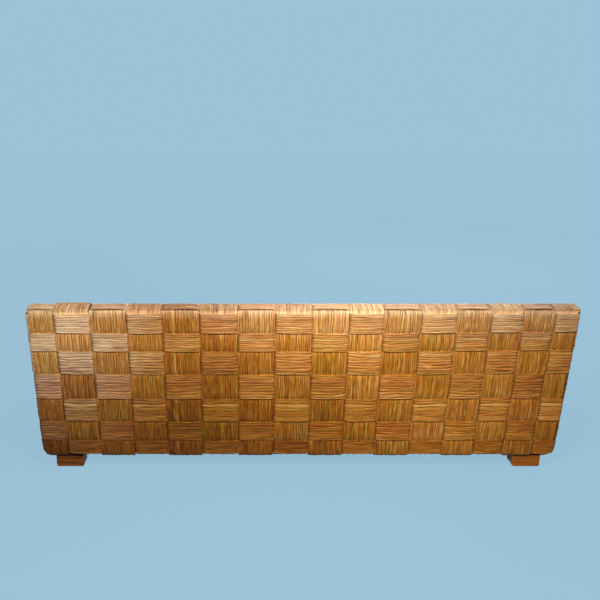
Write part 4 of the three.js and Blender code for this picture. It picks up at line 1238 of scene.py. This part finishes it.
def make_foot(end, row):
    """A hardwood block with rounded lower edges, cut to the slope of what it stands under."""
    node = f"foot_{row}_{end}"
    low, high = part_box(node)
    slope = math.tan(BACK_RAKE) if row == "rear" else 0.0
    bm = block(low, high)
    for vert in bm.verts:
        if vert.co.z > low.z + JOINT_GAP:
            vert.co.z = high.z - slope * (vert.co.y - low.y)
    sole_ends = [
        e for e in bm.edges
        if all(v.co.z < low.z + JOINT_GAP for v in e.verts)
        and abs(e.verts[0].co.x - e.verts[1].co.x) < JOINT_GAP
    ]
    round_edges(bm, sole_ends, LOWER_ROUNDING, segments=5)
    faces_outline = [
        e for e in bm.edges
        if abs(e.verts[0].co.y - e.verts[1].co.y) < JOINT_GAP
        and any(v.co.z < high.z - LOWER_ROUNDING for v in e.verts)
    ]
    round_edges(bm, faces_outline, EDGE_ROUNDING, segments=3)
    bmesh.ops.recalc_face_normals(bm, faces=bm.faces)
    for face in bm.faces:
        face.smooth = len(face.verts) == 4 and face.calc_area() < ROUNDING_AREA
    mesh = bpy.data.meshes.new(f"foot_block_{row}_{end}")
    material = FOOT_WOOD_ALONG_X if row == "rear" else FOOT_WOOD_ALONG_Y
    foot = finish_piece(bm, mesh, mesh.name, material, Matrix(), "sofa", [node])
    # Painted shade: darker towards the top of the foot and at the sofa's right end.
    soiling = foot.data.attributes.new("soiling", "FLOAT", "POINT")
    for point, vert in zip(soiling.data, foot.data.vertices):
        height = (vert.co.z - low.z) / (high.z - low.z)
        rightward = float(smooth_share(vert.co.x))
        point.value = PAINTED_SHADE_UPWARDS * height + PAINTED_SHADE_TO_THE_RIGHT * rightward


def make_glide(end, row):
    """A turned nylon glide with a rounded sole and a stud that is driven up into the foot."""
    node = f"foot_glide_{row}_{end}"
    low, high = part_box(node)
    radius = (high.x - low.x) / 2
    centre = (low + high) / 2
    stud, flange, edge = 0.003, 0.0027, 0.0009
    turning_steps = 40
    outline = [
        (0, 0), (radius - edge, 0), (radius - edge * 0.3, edge * 0.3), (radius, edge),
        (radius, flange - edge / 2), (radius - edge / 2, flange), (stud, flange),
        (stud, high.z - stud / 2), (stud / 2, high.z), (0, high.z),
    ]
    bm = bmesh.new()
    verts = [bm.verts.new((r, 0, z)) for r, z in outline]
    edges = [bm.edges.new(pair) for pair in zip(verts, verts[1:])]
    bmesh.ops.spin(
        bm, geom=verts + edges, cent=(0, 0, 0), axis=(0, 0, 1), angle=2 * math.pi,
        steps=turning_steps, use_merge=True,
    )
    bmesh.ops.remove_doubles(bm, verts=bm.verts, dist=MERGE_DISTANCE)
    bmesh.ops.recalc_face_normals(bm, faces=bm.faces)
    bmesh.ops.translate(bm, vec=(centre.x, centre.y, 0), verts=bm.verts)
    mesh = bpy.data.meshes.new(f"glide_{row}_{end}")
    finish_piece(bm, mesh, mesh.name, NYLON, Matrix(), "sofa", [node])


for row in ("rear", "front"):
    for end in ("left", "right"):
        make_foot(end, row)
        make_glide(end, row)

# Seat cushions
CUSHION_INSET = 0.007
CUSHION_CROWN = 0.020
CUSHION_DRAW_IN = 0.006
CUSHION_CORNER = 0.009
CUSHION_CUTS = 15
CROWN_POWER = 4
CORNER_POWER = 6
CUSHION_VOXEL = 0.008
FILLING = {
    "use_pressure": True, "uniform_pressure_force": 4.0, "tension_stiffness": 20,
    "compression_stiffness": 20, "shear_stiffness": 8, "bending_stiffness": 0.6,
}
FILLING_FRAMES = 20
# A point moves no further than this while the cushion is filled.
FILLING_REACH = 0.010
PIPING_RADIUS = 0.0038
PIPING_PROUD_SHARE = 0.3


def cushion_form(a, b, c, size):
    """A point of a boxed cushion before it is filled, from a, b and c between -1 and 1: crowned
    above, flat below, the sides drawn in between the corners."""
    corner = CUSHION_CORNER * (a * a * b * b) ** CORNER_POWER
    drawn_x = CUSHION_DRAW_IN * (1 - b * b) + corner
    drawn_y = CUSHION_DRAW_IN * (1 - a * a) + corner
    crown = CUSHION_CROWN * (1 - a**CROWN_POWER) * (1 - b**CROWN_POWER)
    rise = crown if c > 0 else 0.0
    half = size / 2
    return Vector((a * (half.x - drawn_x), b * (half.y - drawn_y), c * (half.z + rise)))


def points_of(mesh):
    points = np.zeros(len(mesh.vertices) * 3, np.float32)
    mesh.vertices.foreach_get("co", points)
    return points.reshape(-1, 3)


def filled_cushion(size):
    """A cushion's skin, and its points after it is filled by cloth simulation."""
    bm = bmesh.new()
    bmesh.ops.create_cube(bm, size=2.0)
    bmesh.ops.subdivide_edges(bm, edges=bm.edges[:], cuts=CUSHION_CUTS, use_grid_fill=True)
    for vert in bm.verts:
        vert.co = cushion_form(*vert.co, size)
    mesh = bpy.data.meshes.new("cushion_shell")
    bm.to_mesh(mesh)
    bm.free()
    shell = show("cushion_shell", mesh)
    remesh = shell.modifiers.new("voxels", "REMESH")
    remesh.mode = "VOXEL"
    remesh.voxel_size = CUSHION_VOXEL
    graph = bpy.context.evaluated_depsgraph_get()
    even = bpy.data.meshes.new_from_object(shell.evaluated_get(graph))
    shell.modifiers.clear()
    shell.data = even
    before = after = points_of(even)
    cloth = shell.modifiers.new("filling", "CLOTH")
    for setting, value in FILLING.items():
        setattr(cloth.settings, setting, value)
    cloth.settings.effector_weights.gravity = 0.0
    cloth.point_cache.frame_start = 1
    cloth.point_cache.frame_end = FILLING_FRAMES
    for step in range(1, FILLING_FRAMES + 1):
        bpy.context.scene.frame_set(step)
    graph = bpy.context.evaluated_depsgraph_get()
    puffed = bpy.data.meshes.new_from_object(shell.evaluated_get(graph))
    after = points_of(puffed)
    bpy.data.meshes.remove(puffed)
    bpy.context.scene.frame_set(1)
    move = after - before
    far = np.linalg.norm(move, axis=1, keepdims=True)
    move *= np.minimum(1.0, FILLING_REACH / np.maximum(far, TINY))
    bpy.data.objects.remove(shell)
    return even, before + move


def seam_line(tree, centre, size, level, proud):
    """The line of a sewn edge on the filled cushion: the bare form's edge, brought to the skin
    and lifted off it by proud. level is 1 for the upper edge and -1 for the lower one."""
    per_side = 64
    smoothing_rounds = 4
    corners = [(-1, -1), (1, -1), (1, 1), (-1, 1)]
    line = []
    for (a0, b0), (a1, b1) in zip(corners, corners[1:] + corners[:1]):
        for step in range(per_side):
            share = step / per_side
            a, b = a0 + (a1 - a0) * share, b0 + (b1 - b0) * share
            skin, outward, _, _ = tree.find_nearest(centre + cushion_form(a, b, level, size))
            line.append(skin + outward * proud)
    line = np.array(line)
    for _ in range(smoothing_rounds):
        line = (np.roll(line, 1, 0) + 2 * line + np.roll(line, -1, 0)) / 4
    return line


def corded_edge(line, radius):
    """Piping: a cord sewn into a closed seam, as a round tube."""
    count = len(line)
    around = 10
    bm = bmesh.new()
    bmesh.ops.create_grid(bm, x_segments=around, y_segments=count, size=1.0)
    ahead = np.roll(line, -1, 0) - np.roll(line, 1, 0)
    tangent = ahead / np.linalg.norm(ahead, axis=1, keepdims=True)
    side = np.cross(tangent, (0, 0, 1.0))
    side /= np.linalg.norm(side, axis=1, keepdims=True)
    upward = np.cross(side, tangent)
    for vert in bm.verts:
        n = round((vert.co.y + 1) / 2 * count) % count
        angle = 2 * math.pi * round((vert.co.x + 1) / 2 * around) / around
        away = math.cos(angle) * side[n] + math.sin(angle) * upward[n]
        vert.co = Vector(line[n] + radius * away)
    bmesh.ops.remove_doubles(bm, verts=bm.verts, dist=MERGE_DISTANCE)
    smooth_skin(bm)
    return bm


def settle_cushion(points, size, low, high, number):
    """Turns and creases a filled cushion as the given one of the three, and lays it in place."""
    flat_foot = 0.0025
    crease_size, crease_height, crease_seed, crease_lean = 0.14, 0.0045, 9.7, 3
    pucker_size, pucker_height, pucker_seed = 0.032, 0.0024, 5.3
    turned = points.copy()
    turned[:, 0] *= -1 if number > 0 else 1
    turned[:, 1] *= -1 if number == 1 else 1
    for point in turned:
        x, y, z = point
        sample = (x / crease_size, y / crease_size, number * crease_seed + z * crease_lean)
        crease = noise.noise(Vector(sample))
        sample = (x / pucker_size, y / pucker_size, number * pucker_seed)
        pucker = noise.noise(Vector(sample))
        rim = max(abs(x) / (size.x / 2), abs(y) / (size.y / 2)) ** CORNER_POWER
        if z > 0:
            point[2] += crease_height * crease * (1 - rim) + pucker_height * pucker * rim
    turned[:, 2] -= turned[:, 2].min()
    turned[:, 2] = np.maximum(turned[:, 2], flat_foot) - flat_foot + low.z
    turned[:, :2] += np.array((low + high) / 2)[:2]
    return turned


def make_cushions():
    low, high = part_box("seat_cushion_middle")
    spare = Vector((2 * CUSHION_INSET, 2 * CUSHION_INSET, CUSHION_CROWN + FILLING_REACH))
    size = high - low - spare
    shell, points = filled_cushion(size)
    for number, end in enumerate(("left", "middle", "right")):
        node = f"seat_cushion_{end}"
        body = f"cushion_{end}"
        low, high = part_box(node)
        mesh = shell.copy()
        mesh.name = body
        settled = settle_cushion(points, size, low, high, number)
        mesh.vertices.foreach_set("co", settled.reshape(-1).astype(np.float32))
        bm = bmesh.new()
        bm.from_mesh(mesh)
        smooth_skin(bm)
        tree = BVHTree.FromBMesh(bm)
        cushion = finish_piece(bm, mesh, body, CANVAS, Matrix(), body, [node])
        rounding = cushion.modifiers.new("rounding", "SUBSURF")
        rounding.levels = rounding.render_levels = 1
        centre = (low + high) / 2
        centre.z = low.z + size.z / 2
        for place, level in (("top", 1), ("bottom", -1)):
            line = seam_line(tree, centre, size, level, PIPING_RADIUS * PIPING_PROUD_SHARE)
            line[:, 2] = np.maximum(line[:, 2], low.z + PIPING_RADIUS)
            name = f"{body}_piping_{place}"
            cord = corded_edge(line, PIPING_RADIUS)
            cord_mesh = bpy.data.meshes.new(name)
            finish_piece(cord, cord_mesh, name, PIPING, Matrix(), body, [node])


make_cushions()

# Finishes of the CAD pieces that stay


def dress(names, material):
    for name in names:
        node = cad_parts[name]
        node.data.materials.clear()
        node.data.materials.append(material)


dress(["back_top_rail", "seat_front_cleat", "seat_rear_rail"], PINE_ALONG_X)
dress(["back_stile_left", "back_stile_right", "back_center_post"], PINE_ALONG_Z)
dress(["seat_slat_deck", "seat_side_rail_left", "seat_side_rail_right"], PINE_ALONG_Y)
dress(["back_panel_rear", "back_panel_front"], PLY)
for side, _ in ENDS:
    dress([f"arm_{side}_top_rail"], PINE_ALONG_Y)
    dress([f"arm_{side}_rear_stile"], PINE_ALONG_Z)
    dress([f"arm_{side}_panel_outer", f"arm_{side}_panel_inner"], PLY)
    dress([f"foot_bolt_front_{side}", f"foot_bolt_rear_{side}"], ZINC_STEEL)

# Set, lights and camera
FLOOR_HALF = 14.0
# Name, place, what it points at, size, watts and colour of each lamp
LAMPS = (
    ("key_lamp", (1.7, 3.1, 2.9), (0, 0.3, 0.4), (1.2, 1.0), 62, "#FFF4E6"),
    ("back_lamp", (0.05, 1.4, 1.95), (0, 0.3, 0.5), (1.0, 0.4), 46, "#FFF6EA"),
    ("fill_lamp", (-3.2, 2.0, 1.6), (-0.4, 0.3, 0.2), (1.6, 1.6), 20, "#FFFFFF"),
    ("front_lamp", (-1.5, -3.6, 2.8), (0, 0.0, 0.3), (2.6, 2.0), 90, "#FFFFFF"),
)
# What the floor throws back onto the sofa, and how much of the lamps' light it shows
BOUNCE_COLOUR = "#77756F"
LIT_COLOUR = "#303F47"
AIR_COLOUR = "#E8E5DF"
AIR_STRENGTH = 0.2


def plain_backdrop():
    """A painted studio floor: matt, with its own pale colour to the camera and a soft shadow."""
    material, tree, shader = new_material("backdrop_paint_pale")
    tree.nodes.remove(shader)
    seen = add_node(tree, "ShaderNodeLightPath").outputs
    larger = {"operation": "MAXIMUM"}
    rays = {0: seen["Is Camera Ray"], 1: seen["Is Glossy Ray"]}
    either = add_node(tree, "ShaderNodeMath", larger, rays)
    rays = {0: either, 1: seen["Is Transmission Ray"]}
    shows = add_node(tree, "ShaderNodeMath", larger, rays)
    neutral = add_node(tree, "ShaderNodeBsdfDiffuse", {"Color": linear(BOUNCE_COLOUR)})
    # Far from the lamps the paint shows a little more of its own colour, so that it looks even.
    place = add_node(tree, "ShaderNodeTexCoord").outputs["Object"]
    distance = add_node(tree, "ShaderNodeVectorMath", {"operation": "LENGTH"}, {0: place})
    evenness = {"From Min": 1.0, "From Max": 7.0, "To Min": 0.89, "To Max": 0.97}
    far_off = {"Value": distance.outputs["Value"]}
    strength = add_node(tree, "ShaderNodeMapRange", evenness, far_off)
    own_colour = {"Color": linear(SET_COLOUR)}
    pale = add_node(tree, "ShaderNodeEmission", own_colour, {"Strength": strength})
    lit = add_node(tree, "ShaderNodeBsdfDiffuse", {"Color": linear(LIT_COLOUR)})
    shown = add_node(tree, "ShaderNodeAddShader", {}, {0: pale, 1: lit})
    mixed = add_node(tree, "ShaderNodeMixShader", {}, {0: shows, 1: neutral, 2: shown})
    link_up(tree, tree.nodes["Material Output"], {"Surface": mixed})
    return material


def make_floor():
    bm = bmesh.new()
    bmesh.ops.create_grid(bm, x_segments=1, y_segments=1, size=FLOOR_HALF)
    mesh = bpy.data.meshes.new("studio_floor")
    bm.to_mesh(mesh)
    bm.free()
    mesh.materials.append(plain_backdrop())
    show("studio_floor", mesh)


def make_lights():
    for name, place, target, size, watts, colour in LAMPS:
        data = bpy.data.lights.new(name, "AREA")
        data.shape = "RECTANGLE"
        data.size, data.size_y = size
        data.energy = watts
        data.color = linear(colour)[:3]
        lamp = show(name, data)
        lamp.location = place
        way = Vector(target) - Vector(place)
        lamp.rotation_euler = way.to_track_quat("-Z", "Y").to_euler()
        lamp.visible_camera = False
    world = bpy.data.worlds.new("studio_air")
    world.use_nodes = True
    tree = world.node_tree
    air = tree.nodes["Background"]
    air.inputs["Color"].default_value = linear(AIR_COLOUR)
    air.inputs["Strength"].default_value = AIR_STRENGTH
    set_paint = {"Color": linear(SET_COLOUR), "Strength": 1.0}
    behind = add_node(tree, "ShaderNodeBackground", set_paint)
    seen = add_node(tree, "ShaderNodeLightPath").outputs["Is Camera Ray"]
    mixed = add_node(tree, "ShaderNodeMixShader", {}, {0: seen, 1: air, 2: behind})
    link_up(tree, tree.nodes["World Output"], {"Surface": mixed})
    bpy.context.scene.world = world


def make_camera():
    data = bpy.data.cameras.new("camera")
    data.sensor_width = CAMERA_SENSOR
    data.lens = CAMERA_LENS
    data.shift_x = CAMERA_SHIFT_X
    camera = show("camera", data)
    camera.location = CAMERA_PLACE
    camera.rotation_euler = (math.pi / 2 - CAMERA_PITCH, 0, math.pi)
    bpy.context.scene.camera = camera


make_floor()
make_lights()
make_camera()
bpy.context.scene.view_settings.view_transform = "Standard"
